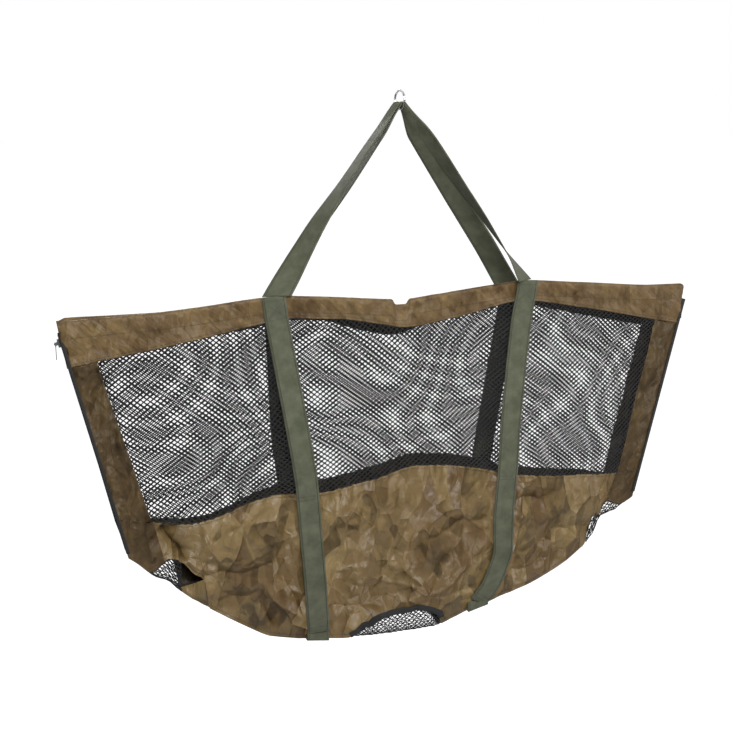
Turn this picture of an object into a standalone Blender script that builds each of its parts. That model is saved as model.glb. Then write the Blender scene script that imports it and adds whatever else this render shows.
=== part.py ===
"""Weigh sling: a long fabric cradle with mesh windows, hung by two webbing handles from one steel ring.

Metres, +Z up. X runs along the sling, the front faces -Y, and the origin is where the hook bears,
at the top of the ring's eye. A scale's hook holds the ring, and the sling hangs below it.
"""

import math

import bmesh
import bpy
from mathutils import Matrix, Vector

# Clearances
SEAM_GAP = 0.0004  # between two pieces sewn edge to edge, or lying on each other
FACE_GAP = 0.0007  # between a strap and the curved cloth that it is sewn on
SWING_GAP = 0.0016  # where an edge turns past its neighbour
SLIDE_GAP = 0.0009  # round the ring's wire, and between the two handles that slide on it
CUT_OVERRUN = 0.002

# Hook ring
RING_BORE = 0.025
RING_WIRE = 0.0035
RING_TURN = math.radians(12)

# Webbing
WEB_WIDTH = 0.038
WEB_THICK = 0.0016
WEB_AT_RING = 0.021  # gathered width in the ring
LEG_FLARE = 0.006  # how far a leg's inner edge runs past the sewn strap at the hem
LEG_STEP = 0.0012  # how far the upper handle's legs start off the lower ones at the ring
LEG_BOW = 0.007  # how much further they bow off them below it

# Cloth, net and rods
CLOTH = 0.001
NET_CORD = 0.002
ROD_RADIUS = 0.003
ROD_CLEARANCE = 0.0008
SLEEVE_WALL = 0.0014

# Heights below the hook, at the middle of the wall unless said
HEM_Z = -0.3085  # top of the hem at the straps, its highest place
HEM_SAG = 0.019  # drop of the hem from the straps to the notch in the middle
HEM_FALL = 0.025  # drop from the straps to the ends
HEM_TALL = 0.0335  # height of the hem at the straps
HEM_TALL_MIDDLE = 0.0485
HEM_TALL_END = 0.064
PANEL_Z = -0.605  # top edge of the lower panel in the middle
PANEL_FALL = 0.062  # how far that edge falls towards the sides
CORNER_Z = -0.735  # lower corner of each end
BOTTOM_Z = -0.927

# Half widths along X
END_HALF = 0.541
ZIP_TOP_Z = -0.357
CORNER_HALF = 0.455
SIDE_BAND_TOP = 0.054  # width of the side bands at the hem
SIDE_BAND_LOW = 0.038  # and at the lower panel
PANEL_LEVEL = 0.047  # how far in from the window the panel's top edge runs level
WINDOW_HALF_TOP = END_HALF - SIDE_BAND_TOP
WINDOW_HALF_LOW = CORNER_HALF - SIDE_BAND_LOW
PANEL_FALL_HALF = WINDOW_HALF_LOW - PANEL_LEVEL
STRAP_HALF_TOP = 0.218
STRAP_HALF_LOW = 0.150
NOTCH_HALF = 0.016

# Half depths along Y
ZIP_DEPTH = 0.015
HEM_DEPTH = 0.026
BELLY_DEPTH = 0.046
BOTTOM_DEPTH = 0.025
SIDE_ROUND = 0.30  # how far in from an end the wall reaches its full depth
FOOT_ROUND = 0.16  # how far up from the bottom the wall reaches its full depth
BELLY_DROP = 0.34  # from the hem down to the belly

# Folds of the lower panels
FOLD_HIGH = 0.0045
FOLD_PITCH = 0.105
FOLD_FREE = 0.055  # a fold reaches its height this far from a seam or strap

# Drain meshes
DRAIN_HALF = 0.083
DRAIN_RISE = 0.052
CORNER_DRAIN = 0.07

# Zips
ZIP_FOOT = 0.022  # from the lower corner up to the end of the zip
COIL_WIDE = 0.004
COIL_THICK = 0.0018
TAPE_THICK = 0.0008
SLIDER_LONG = 0.012
SLIDER_WIDE = 0.0086
SLIDER_THICK = 0.0034
SLIDER_GROOVE = 0.0009
SLIDER_DOWN = 0.012  # from the top of the zip to the slider's middle
LUG_THICK = 0.0014
LUG_GAP = 0.0028
LUG_TALL = 0.0042
LUG_LONG = 0.0044
PIN_RADIUS = 0.0007
EYE_RADIUS = 0.0012
EYE_RIM = 0.0012
EYE_THICK = 0.0016
PULL_LONG = 0.024
PULL_WIDE = 0.0042

# Shares of the sizes above
HEM_CURVE_SHARE = 1.3
LOWER_CURVE_SHARE = 2.3
NET_STEPS = (5, 5, 1)  # columns from the middle to the strap, to the panel's bend and to the edge
NET_ROWS = 6
HEM_STEPS = (5, 7)
SLEEVE_SHARES = ((-1.0, 1.0), (-0.75, 0.35), (0.0, 0.0), (0.75, 0.35), (1.0, 1.0), (0.7, 2.0))
BORE_SHARES = (-0.22, -0.11, 0.0, 0.11, 0.22, 0.31, 0.42, 0.49, 0.51, 0.58, 0.69)  # of a full turn
ARCH_SHARES = (0.0, 0.35, 0.65, 0.9, 1.0)  # places along half of the drain's arch
DRAIN_NET_SHARE = 0.87  # where the drain's netting ends, of the arch's half width


def clear_scene():
    for item in list(bpy.data.objects):
        bpy.data.objects.remove(item, do_unlink=True)


def mix(a, b, t):
    return a + (b - a) * t


def clamp(t):
    return min(max(t, 0.0), 1.0)


def smooth(t):
    t = clamp(t)
    return t * t * (3 - 2 * t)


def ease(t):
    t = clamp(t)
    return t * (2 - t)


def spread(places, steps):
    """Even steps between the places, from the first to the last."""
    spots = [places[0]]
    for near, far, count in zip(places, places[1:], steps):
        spots += [mix(near, far, (i + 1) / count) for i in range(count)]
    return spots


def both_hands(half):
    """A half row that starts in the middle, with its mirror image before it."""
    return [-x for x in reversed(half[1:])] + half


# Outline of a wall, seen from the front


def hem_top(x):
    """Height of the hem's top edge: a shallow arch over each strap."""
    x = abs(x)
    if x < STRAP_HALF_TOP:
        return HEM_Z - HEM_SAG * (1 - x / STRAP_HALF_TOP) ** HEM_CURVE_SHARE
    share = (x - STRAP_HALF_TOP) / (END_HALF - STRAP_HALF_TOP)
    return HEM_Z - HEM_FALL * share**HEM_CURVE_SHARE


def hem_height(x):
    x = abs(x)
    if x < STRAP_HALF_TOP:
        return mix(HEM_TALL_MIDDLE, HEM_TALL, x / STRAP_HALF_TOP)
    return mix(HEM_TALL, HEM_TALL_END, clamp((x - STRAP_HALF_TOP) / (END_HALF - STRAP_HALF_TOP)))


def panel_top(x):
    return PANEL_Z - PANEL_FALL * clamp(abs(x) / PANEL_FALL_HALF)


def lower_edge(x):
    """Height of the bag's lower edge, from the flat middle up to each lower corner."""
    rise = CORNER_Z - BOTTOM_Z
    return BOTTOM_Z + rise * (abs(x) / CORNER_HALF) ** LOWER_CURVE_SHARE


def under(x, gap):
    """Height of a point that lies a gap square below the lower edge, at its slope there."""
    rise = CORNER_Z - BOTTOM_Z
    share = (abs(x) / CORNER_HALF) ** (LOWER_CURVE_SHARE - 1)
    return lower_edge(x) - gap * math.hypot(1, share * LOWER_CURVE_SHARE * rise / CORNER_HALF)


def panel_foot(x):
    """The lower panel's bottom edge, cut up in a round arch over the middle drain."""
    arch = max(0.0, 1 - (x / DRAIN_HALF) ** 2)
    return lower_edge(x) + DRAIN_RISE * math.sqrt(arch)


def side_edge(z):
    """Half width of the bag at a height: upright beside the hem, then along the slanted zip."""
    share = (ZIP_TOP_Z - z) / (ZIP_TOP_Z - CORNER_Z)
    return END_HALF - (END_HALF - CORNER_HALF) * max(0.0, share)


HEM_FOOT_HALF = side_edge(hem_top(END_HALF) - HEM_TALL_END)
PANEL_HALF = side_edge(panel_top(END_HALF))


def hem_foot(x):
    """Height of the hem's lower edge, which is a little shorter than its top edge."""
    top_x = x * END_HALF / HEM_FOOT_HALF
    return hem_top(top_x) - hem_height(top_x)


def strap_x(z):
    """Middle of a sewn strap at a height: the straps lean in towards the bottom."""
    return mix(STRAP_HALF_TOP, STRAP_HALF_LOW, (HEM_Z - z) / (HEM_Z - BOTTOM_Z))


def fold(x, z):
    """Height of the lower panel's soft folds, none at its seams, its edges and under the straps."""
    calm = smooth((panel_top(x) - z) / FOLD_FREE)
    calm *= smooth((z - panel_foot(x)) / FOLD_FREE)
    calm *= smooth((side_edge(z) - abs(x)) / FOLD_FREE)
    calm *= smooth((abs(abs(x) - strap_x(z)) - WEB_WIDTH / 2) / FOLD_FREE)
    slant = x / FOLD_PITCH + (z - PANEL_Z) / (2 * FOLD_PITCH)
    return FOLD_HIGH * calm * math.sin(math.tau * slant)


def depth(x, z):
    """How far the wall's mid surface stands from the middle plane."""
    side = ease((side_edge(z) - abs(x)) / SIDE_ROUND)
    foot = ease((z - lower_edge(x)) / FOOT_ROUND)
    full = mix(HEM_DEPTH, BELLY_DEPTH, smooth((HEM_Z - z) / BELLY_DROP))
    low = mix(ZIP_DEPTH, BOTTOM_DEPTH, side)
    high = mix(ZIP_DEPTH, full, side)
    return mix(low, high, foot) + fold(x, z)


# Materials


def material(name, colour, roughness, metallic=0.0):
    made = bpy.data.materials.new(name)
    made.use_nodes = True
    shader = made.node_tree.nodes["Principled BSDF"]
    shader.inputs["Base Color"].default_value = (*colour, 1.0)
    shader.inputs["Roughness"].default_value = roughness
    shader.inputs["Metallic"].default_value = metallic
    return made


def make_materials():
    return {
        "webbing": material("webbing", (0.09, 0.10, 0.07), 0.8),
        "cloth": material("coated_cloth", (0.12, 0.085, 0.035), 0.45),
        "net": material("net", (0.01, 0.01, 0.01), 0.7),
        "steel": material("ring_steel", (0.75, 0.75, 0.77), 0.2, 1.0),
        "rod": material("rod", (0.55, 0.53, 0.45), 0.5),
        "tape": material("zip_tape", (0.015, 0.015, 0.015), 0.8),
        "coil": material("zip_coil", (0.02, 0.02, 0.02), 0.45),
        "slider": material("zip_metal", (0.55, 0.55, 0.56), 0.3, 1.0),
    }


# Building blocks


def body(name, place):
    """An empty on a joint's axis, which carries the pieces of one moving body."""
    made = bpy.data.objects.new(name, None)
    made.location = place
    made.empty_display_size = RING_BORE
    bpy.context.scene.collection.objects.link(made)
    return made


def finish_mesh(name, bm, look, carrier, round_piece=True):
    """Turns a bmesh in world coordinates into a named piece carried by a body's empty."""
    bmesh.ops.translate(bm, verts=bm.verts, vec=-carrier.location)
    mesh = bpy.data.meshes.new(name)
    bm.to_mesh(mesh)
    bm.free()
    if round_piece:
        mesh.shade_smooth()
        mesh.set_sharp_from_angle(angle=math.radians(40))
    mesh.materials.append(look)
    piece = bpy.data.objects.new(name, mesh)
    piece.parent = carrier
    bpy.context.scene.collection.objects.link(piece)
    return piece


def grid(rows, bm=None):
    """A bmesh surface through a list of rows of points."""
    bm = bm or bmesh.new()
    verts = [[bm.verts.new(point) for point in row] for row in rows]
    for upper, lower in zip(verts, verts[1:]):
        for i in range(len(upper) - 1):
            bm.faces.new((upper[i], upper[i + 1], lower[i + 1], lower[i]))
    return bm


def sheet(name, rows, thick, look, carrier):
    """A piece of cloth or webbing: a surface with its thickness laid equally on both sides."""
    piece = finish_mesh(name, grid(rows), look, carrier)
    shell = piece.modifiers.new("thickness", "SOLIDIFY")
    shell.thickness = thick
    shell.offset = 0.0
    return piece


def net(name, rows, look, carrier):
    """Square netting: the edges of a grid, thickened into joined cords."""
    piece = finish_mesh(name, grid(rows), look, carrier, round_piece=False)
    cords = piece.modifiers.new("cords", "WIREFRAME")
    cords.thickness = NET_CORD
    cords.offset = 0.0
    cords.use_replace = True
    cords.use_boundary = True
    cords.use_even_offset = False
    return piece


def wall_point(x, z, side, outward=0.0):
    """A point on the front (side -1) or rear (side 1) wall, moved outward from its mid surface."""
    return Vector((x, side * (depth(x, z) + outward), z))


# Ring and handles


def make_ring(look, carrier):
    bpy.ops.mesh.primitive_torus_add(
        major_radius=RING_BORE / 2 + RING_WIRE / 2,
        minor_radius=RING_WIRE / 2,
        major_segments=36,
        minor_segments=8,
        location=(0, 0, 0),
    )
    ring = bpy.context.active_object
    ring.name = "hook_ring"
    ring.data.name = "hook_ring"
    ring.data.transform(Matrix.Rotation(math.radians(90), 4, "Y"))
    ring.data.shade_smooth()
    ring.data.materials.append(look)
    ring.parent = carrier
    ring.location = Vector((0, 0, -RING_BORE / 2)) - carrier.location
    ring.rotation_euler = (0, 0, RING_TURN)
    return ring


def saddle_row(layer, wrap):
    """Points across the gathered webbing where it bends over the ring's lower wire."""
    ring_middle = Vector((0, 0, -RING_BORE / 2))
    ring_radius = (RING_BORE + RING_WIRE) / 2
    lift = RING_WIRE / 2 + SLIDE_GAP + WEB_THICK / 2 + layer * (WEB_THICK + SLIDE_GAP)
    reach = WEB_AT_RING / 2 / ring_radius
    turn = Matrix.Rotation(RING_TURN, 3, "Z")
    row = []
    for share in (-1.0, -0.5, 0.0, 0.5, 1.0):
        around = share * reach
        radius = ring_radius - lift * math.cos(wrap)
        across = Vector((0, math.sin(around), -math.cos(around))) * radius
        row.append(ring_middle + turn @ (across + Vector((lift * math.sin(wrap), 0, 0))))
    return row


def leg_angle():
    """The free leg's lean from upright, seen from the front."""
    rise = -RING_BORE - HEM_Z
    return math.atan2(STRAP_HALF_TOP, rise)


def make_saddle(name, layer, look, carrier):
    end = math.radians(90) - leg_angle()
    rows = [saddle_row(layer, end * share) for share in (-1.0, -0.6, -0.2, 0.2, 0.6, 1.0)]
    return sheet(name, rows, WEB_THICK, look, carrier)


def strap_lift(z, top):
    """How far a sewn strap's mid surface stands off the wall: over the rod sleeve, then flat."""
    sleeve = ROD_RADIUS + ROD_CLEARANCE + SLEEVE_WALL
    flat = NET_CORD / 2
    taper = smooth((top - z - 1.6 * sleeve) / (2.4 * sleeve))
    return mix(sleeve, flat, taper) + FACE_GAP + WEB_THICK / 2


def make_leg(name, hand, side, layer, look, carrier):
    """A free leg: it leaves the ring edge on and turns a quarter turn to lie flat on the hem."""
    steps = 16
    upper = 0.5  # share of the leg along which the two handles still lie over each other
    end = math.radians(90) - leg_angle()
    start_row = saddle_row(layer, hand * end)
    lean = leg_angle()
    down = Vector((hand * math.sin(lean), 0, -math.cos(lean)))
    outward = Vector((hand * math.cos(lean), 0, math.sin(lean)))
    bow = layer * LEG_BOW
    foot_z = HEM_Z + FACE_GAP
    foot_y = side * (depth(STRAP_HALF_TOP, HEM_Z) + strap_lift(HEM_Z, HEM_Z))
    foot = Vector((hand * (STRAP_HALF_TOP - LEG_FLARE / 2), foot_y, foot_z))
    foot_half = (WEB_WIDTH + LEG_FLARE) / 2
    start = start_row[2] + down * SLIDE_GAP + outward * (SEAM_GAP + layer * LEG_STEP)
    across_start = (start_row[4] - start_row[0]).normalized()
    rows = []
    for i in range(steps + 1):
        s = i / steps
        middle = start.lerp(foot, s) + outward * (bow * math.sin(math.pi * clamp(s / upper)))
        turn = smooth(s)
        across = (across_start * math.cos(turn * math.pi / 2)
                  - Vector((hand, 0, 0)) * math.sin(turn * math.pi / 2)).normalized()
        half = mix(WEB_AT_RING / 2, foot_half, smooth(2 * s))
        cupped = [start_row[k] - start_row[2] for k in range(5)]
        row = []
        for k, share in enumerate((-1.0, -0.5, 0.0, 0.5, 1.0)):
            flat = across * (half * share)
            row.append(middle + cupped[k].lerp(flat, smooth(4 * s)))
        rows.append(row)
    return sheet(name, rows, WEB_THICK, look, carrier)


def make_sewn_strap(name, hand, side, look, carrier):
    """The strap sewn down a wall, from the hem's top edge to just above the bottom."""
    sleeve = ROD_RADIUS + ROD_CLEARANCE + SLEEVE_WALL
    foot = lower_edge(STRAP_HALF_LOW) + SWING_GAP
    hem_rows = [HEM_Z - share * sleeve for share in (0, 1.6, 2.2, 3, 4)]
    below = 15
    heights = hem_rows + [mix(HEM_Z - HEM_TALL, foot, i / below) for i in range(below + 1)]
    rows = []
    for z in heights:
        middle = strap_x(z)
        edges = (middle - WEB_WIDTH / 2, middle, middle + WEB_WIDTH / 2)
        deep = max(depth(x, z) for x in edges) + strap_lift(z, HEM_Z)
        rows.append([Vector((hand * x, side * deep, z)) for x in edges])
    return sheet(name, rows, WEB_THICK, look, carrier)


def make_under_strap(name, hand, look, carrier):
    """The strap that passes under the bag from the front wall's strap to the rear one."""
    below = CLOTH / 2 + SEAM_GAP + CLOTH + FACE_GAP + WEB_THICK / 2
    proud = NET_CORD / 2 + FACE_GAP + WEB_THICK / 2
    rows = []
    middle = STRAP_HALF_LOW
    edges = (middle - WEB_WIDTH / 2, middle, middle + WEB_WIDTH / 2)
    floor = [under(x, below) for x in edges]
    wide = [depth(x, lower_edge(x)) + proud for x in edges]
    for share in (-1.0, -0.9, -0.5, 0.0, 0.5, 0.9, 1.0):
        row = []
        for x, low, reach in zip(edges, floor, wide):
            row.append(Vector((hand * x, share * reach, low)))
        rows.append(row)
    return sheet(name, rows, WEB_THICK, look, carrier)


# Hem sleeves and rods


def hem_section(x_top, x_foot, side):
    """Outer and inner loops of the hem at one station: a rod sleeve above a flat double layer."""
    inner = ROD_RADIUS + ROD_CLEARANCE
    outer = inner + SLEEVE_WALL
    top = hem_top(x_top)
    foot = hem_foot(x_foot) + SEAM_GAP / 2
    flat = CLOTH / 2
    outline = [(outer * out, top - outer * down) for out, down in SLEEVE_SHARES]
    outline += [(flat, top - 3 * outer), (flat, foot), (-flat, foot), (-flat, top - 3 * outer)]
    outline += [(-outer * SLEEVE_SHARES[-1][0], top - outer * SLEEVE_SHARES[-1][1])]
    loop = []
    for out, z in outline:
        x = mix(x_top, x_foot, (top - z) / (top - foot))
        loop.append(wall_point(x, z, side, out))
    bore = []
    for share in BORE_SHARES:
        turn = math.tau * share
        z = top - outer + inner * math.cos(turn)
        bore.append(wall_point(x_top, z, side, inner * math.sin(turn)))
    return loop, bore


def tube_between(bm, near, far):
    """A band of faces between two closed loops of vertices."""
    for i in range(len(near)):
        j = (i + 1) % len(near)
        bm.faces.new((near[i], near[j], far[j], far[i]))


def tube(loops, bm):
    """Joins a row of closed loops into a tube and gives its vertices back, loop by loop."""
    verts = [[bm.verts.new(point) for point in loop] for loop in loops]
    for near, far in zip(verts, verts[1:]):
        tube_between(bm, near, far)
    return verts


def hem_shares():
    return spread((0.0, STRAP_HALF_TOP / END_HALF, 1.0), HEM_STEPS)


def make_hem(name, side, look, carrier):
    tops, bores = [], []
    half = END_HALF - SEAM_GAP
    half_foot = HEM_FOOT_HALF - SEAM_GAP
    for share in both_hands(hem_shares()):
        loop, bore = hem_section(half * share, half_foot * share, side)
        tops.append(loop)
        bores.append(bore)
    bm = bmesh.new()
    outer = tube(tops, bm)
    inner = tube(bores, bm)
    for end in (0, -1):
        tube_between(bm, outer[end], inner[end])
    bmesh.ops.recalc_face_normals(bm, faces=bm.faces)
    return finish_mesh(name, bm, look, carrier)


def make_rod(name, hand, side, look, carrier):
    """A springy rod in the hem sleeve, from the notch to the end of the hem."""
    sleeve = ROD_RADIUS + ROD_CLEARANCE + SLEEVE_WALL
    curve = bpy.data.curves.new(name, "CURVE")
    curve.dimensions = "3D"
    curve.bevel_depth = ROD_RADIUS
    curve.bevel_resolution = 1
    curve.use_fill_caps = True
    half = END_HALF - SEAM_GAP
    line = [hand * half * share for share in hem_shares()]
    line = [wall_point(x, hem_top(x) - sleeve, side) - carrier.location for x in line]
    line[0] = line[0].lerp(line[1], NOTCH_HALF / abs(line[1].x - line[0].x))
    line[-1] = line[-1].lerp(line[-2], sleeve / abs(line[-1].x - line[-2].x))
    spline = curve.splines.new("POLY")
    spline.points.add(len(line) - 1)
    for point, place in zip(spline.points, line):
        point.co = (*place, 1.0)
    curve.materials.append(look)
    rod = bpy.data.objects.new(name, curve)
    rod.parent = carrier
    bpy.context.scene.collection.objects.link(rod)
    return rod


# Walls


def window_half(v):
    return mix(WINDOW_HALF_TOP, WINDOW_HALF_LOW, v)


def make_window(name, side, look, carrier):
    strap_share = STRAP_HALF_TOP * HEM_FOOT_HALF / END_HALF / WINDOW_HALF_TOP
    bend_share = PANEL_FALL_HALF / WINDOW_HALF_LOW
    shares = both_hands(spread((0.0, strap_share, bend_share, 1.0), NET_STEPS))
    rows = []
    for j in range(NET_ROWS + 1):
        v = j / NET_ROWS
        row = []
        for share in shares:
            top = hem_foot(share * WINDOW_HALF_TOP) - SEAM_GAP - NET_CORD / 2
            foot = panel_top(share * WINDOW_HALF_LOW) + SEAM_GAP + NET_CORD / 2
            row.append(wall_point(share * window_half(v), mix(top, foot, v), side))
        rows.append(row)
    return net(name, rows, look, carrier)


def make_side_band(name, hand, side, look, carrier):
    down = 8
    across = 2
    inner = NET_CORD / 2 + SEAM_GAP
    rows = []
    for j in range(down + 1):
        v = j / down
        row = []
        for i in range(across + 1):
            high_x = mix(WINDOW_HALF_TOP + inner, HEM_FOOT_HALF - SEAM_GAP, i / across)
            low_x = mix(WINDOW_HALF_LOW + inner, PANEL_HALF - SEAM_GAP, i / across)
            z = mix(hem_foot(high_x) - SEAM_GAP, panel_top(low_x) + SEAM_GAP, v)
            row.append(wall_point(hand * mix(high_x, low_x, v), z, side))
        rows.append(row)
    return sheet(name, rows, CLOTH, look, carrier)


def panel_columns():
    """Places along the panel's lower edge: close together round the drain's arch."""
    low_half = CORNER_HALF - SEAM_GAP
    bend = PANEL_FALL_HALF * low_half / (PANEL_HALF - SEAM_GAP)
    half = [DRAIN_HALF * share for share in ARCH_SHARES]
    return both_hands(half[:-1] + spread((DRAIN_HALF, bend, low_half), (7, 2)))


def make_lower_panel(name, side, look, carrier):
    down = 8
    top_half = PANEL_HALF - SEAM_GAP
    low_half = CORNER_HALF - SEAM_GAP
    rows = []
    for j in range(down + 1):
        v = j / down
        row = []
        for low_x in panel_columns():
            high_x = low_x * top_half / low_half
            z = mix(panel_top(high_x), panel_foot(low_x), v)
            row.append(wall_point(mix(high_x, low_x, v), z, side))
        rows.append(row)
    return sheet(name, rows, CLOTH, look, carrier)


# Bottom


def bottom_row(x, drop):
    """Points across the bottom at one place along the bag, front edge to rear edge."""
    edge = depth(x, lower_edge(x)) + CLOTH / 2
    low = under(x, drop)
    return [Vector((x, edge * share, low)) for share in (-1.0, -0.5, 0.0, 0.5, 1.0)]


def corner_drain_inner():
    """Where the corner drain ends and the bottom strip starts, along X."""
    return CORNER_HALF - CORNER_DRAIN


def make_bottom_strip(name, hand, look, carrier):
    count = 14
    drop = CLOTH / 2 + SEAM_GAP
    first = DRAIN_HALF * DRAIN_NET_SHARE + NET_CORD / 2 + SEAM_GAP
    last = corner_drain_inner() - SEAM_GAP
    rows = [bottom_row(hand * mix(first, last, i / count), drop) for i in range(count + 1)]
    return sheet(name, rows, CLOTH, look, carrier)


def make_middle_drain(name, look, carrier):
    """Netting across the bottom's middle, up both walls as far as the panels' arches."""
    rows = []
    for share in both_hands([*ARCH_SHARES[:-2], DRAIN_NET_SHARE]):
        x = share * DRAIN_HALF
        floor = lower_edge(x) - CLOTH / 2 - SEAM_GAP
        edge = depth(x, lower_edge(x)) - CLOTH / 2
        slope = DRAIN_RISE * share / math.sqrt(1 - share**2) / DRAIN_HALF
        top = panel_foot(x) - (NET_CORD / 2 + 2 * SEAM_GAP) * math.hypot(1, slope)
        climb = []
        for v in (0.0, 0.8):
            z = mix(top, lower_edge(x), v)
            climb.append(wall_point(x, z, -1))
        row = climb + [Vector((x, edge * place, floor)) for place in (-0.7, 0.0, 0.7)]
        row += [Vector((point.x, -point.y, point.z)) for point in reversed(climb)]
        rows.append(row)
    return net(name, rows, look, carrier)


def make_corner_drain(name, hand, look, carrier):
    """Netting round the lower corner, from the bottom strip to the foot of the zip."""
    count = 4
    drop = NET_CORD / 2 + SEAM_GAP
    rows = []
    first = corner_drain_inner() + NET_CORD / 2
    for i in range(count + 1):
        x = mix(first, CORNER_HALF, i / count)
        rows.append(bottom_row(hand * x, drop))
    for point in rows[-1]:
        point.x += hand * drop
    foot_z = CORNER_Z + ZIP_FOOT - SEAM_GAP - NET_CORD / 2
    x = side_edge(foot_z) + drop
    rows.append([Vector((hand * x, point.y, foot_z)) for point in rows[-1]])
    return net(name, rows, look, carrier)


# Zips


def zip_point(z, hand, out, y=0.0):
    """A point on the end face of the bag, moved outward from the slanted zip line."""
    return Vector((hand * (side_edge(z) + out), y, z))


def zip_line():
    top = Vector((END_HALF, 0, ZIP_TOP_Z))
    foot_z = CORNER_Z + ZIP_FOOT
    return top, Vector((side_edge(foot_z), 0, foot_z))


def make_tape(name, hand, side, look, carrier):
    """One half of the zip tape, across the end face from the coil to the wall's edge."""
    top, foot = zip_line()
    out = SEAM_GAP + TAPE_THICK / 2
    near = COIL_WIDE / 2 + SEAM_GAP
    far = ZIP_DEPTH + CLOTH / 2
    count = 6
    rows = []
    for i in range(count + 1):
        z = mix(top.z, foot.z, i / count)
        rows.append([zip_point(z, hand, out, side * near), zip_point(z, hand, out, side * far)])
    return sheet(name, rows, TAPE_THICK, look, carrier)


def make_coil(name, hand, look, carrier):
    """The closed coil, as a bar with rounded corners."""
    top, foot = zip_line()
    half = COIL_WIDE / 2
    corner = COIL_THICK / 4
    outline = [
        (-half, corner), (-half + corner, 0), (half - corner, 0), (half, corner),
        (half, COIL_THICK - corner), (half - corner, COIL_THICK),
        (-half + corner, COIL_THICK), (-half, COIL_THICK - corner),
    ]
    loops = []
    for z in (top.z, foot.z):
        loops.append([zip_point(z, hand, SEAM_GAP / 2 + out, y) for y, out in outline])
    bm = bmesh.new()
    ends = tube(loops, bm)
    bm.faces.new(ends[0])
    bm.faces.new(ends[1])
    bmesh.ops.recalc_face_normals(bm, faces=bm.faces)
    return finish_mesh(name, bm, look, carrier)


def zip_tilt(hand):
    """Turns +Z up along the zip line, with +X facing out of the bag's end."""
    lean = math.atan2(END_HALF - CORNER_HALF, ZIP_TOP_Z - CORNER_Z)
    if hand > 0:
        return (0, lean, 0)
    return (0, lean, math.pi)


def slider_place(hand):
    """Middle of the slider's inner face, on the zip line."""
    return zip_point(ZIP_TOP_Z - SLIDER_DOWN, hand, 0)


def pin_out():
    """How far the pull's pin stands out from the zip line."""
    base = TAPE_THICK + 2 * SEAM_GAP
    return base + SLIDER_THICK + LUG_TALL - LUG_LONG / 4


def block(bm, low, high):
    made = bmesh.ops.create_cube(bm, size=1.0)["verts"]
    size = Vector(high) - Vector(low)
    bmesh.ops.scale(bm, vec=size, verts=made)
    bmesh.ops.translate(bm, vec=(Vector(high) + Vector(low)) / 2, verts=made)


def rod_along_y(bm, radius, half, x):
    made = bmesh.ops.create_cone(
        bm, cap_ends=True, segments=12, radius1=radius, radius2=radius, depth=2 * half
    )["verts"]
    bmesh.ops.rotate(bm, verts=made, cent=(0, 0, 0), matrix=Matrix.Rotation(math.pi / 2, 3, "X"))
    bmesh.ops.translate(bm, verts=made, vec=(x, 0, 0))


def union(piece, bm, name):
    """Joins another shape to a piece with a Boolean, and hides the helper."""
    helper = cutter(name, bm, piece)
    join = piece.modifiers.new(name, "BOOLEAN")
    join.operation = "UNION"
    join.solver = "EXACT"
    join.object = helper


def cutter(name, bm, piece):
    bmesh.ops.recalc_face_normals(bm, faces=bm.faces)
    mesh = bpy.data.meshes.new(name)
    bm.to_mesh(mesh)
    bm.free()
    helper = bpy.data.objects.new(name, mesh)
    helper.hide_render = True
    helper.display_type = "WIRE"
    helper.parent = piece
    bpy.context.scene.collection.objects.link(helper)
    return helper


def make_slider(name, hand, look, carrier):
    """The slider's outer half: a body grooved over the coil, with two lugs and the pull's pin."""
    base = TAPE_THICK + 2 * SEAM_GAP
    bm = bmesh.new()
    block(bm, (base, -SLIDER_WIDE / 2, -SLIDER_LONG / 2),
          (base + SLIDER_THICK, SLIDER_WIDE / 2, SLIDER_LONG / 2))
    mesh = bpy.data.meshes.new(name)
    bm.to_mesh(mesh)
    bm.free()
    mesh.materials.append(look)
    slider = bpy.data.objects.new(name, mesh)
    slider.parent = carrier
    slider.rotation_euler = zip_tilt(hand)
    bpy.context.scene.collection.objects.link(slider)
    groove = bmesh.new()
    deep = COIL_THICK + SEAM_GAP + SLIDER_GROOVE - base
    groove_half = COIL_WIDE / 2 + SEAM_GAP
    block(groove, (base - CUT_OVERRUN, -groove_half, -SLIDER_LONG),
          (base + deep, groove_half, SLIDER_LONG))
    cut = slider.modifiers.new("coil groove", "BOOLEAN")
    cut.operation = "DIFFERENCE"
    cut.solver = "EXACT"
    cut.object = cutter(name + "_groove", groove, slider)
    outer = base + SLIDER_THICK
    for place in (-1, 1):
        lug = bmesh.new()
        near = place * LUG_GAP / 2
        far = place * (LUG_GAP / 2 + LUG_THICK)
        block(lug, (outer - LUG_THICK / 2, min(near, far), -LUG_LONG / 2),
              (outer + LUG_TALL, max(near, far), LUG_LONG / 2))
        union(slider, lug, f"{name}_lug_{place}")
    pin = bmesh.new()
    rod_along_y(pin, PIN_RADIUS, LUG_GAP / 2 + LUG_THICK / 2, pin_out())
    union(slider, pin, name + "_pin")
    return slider


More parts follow.
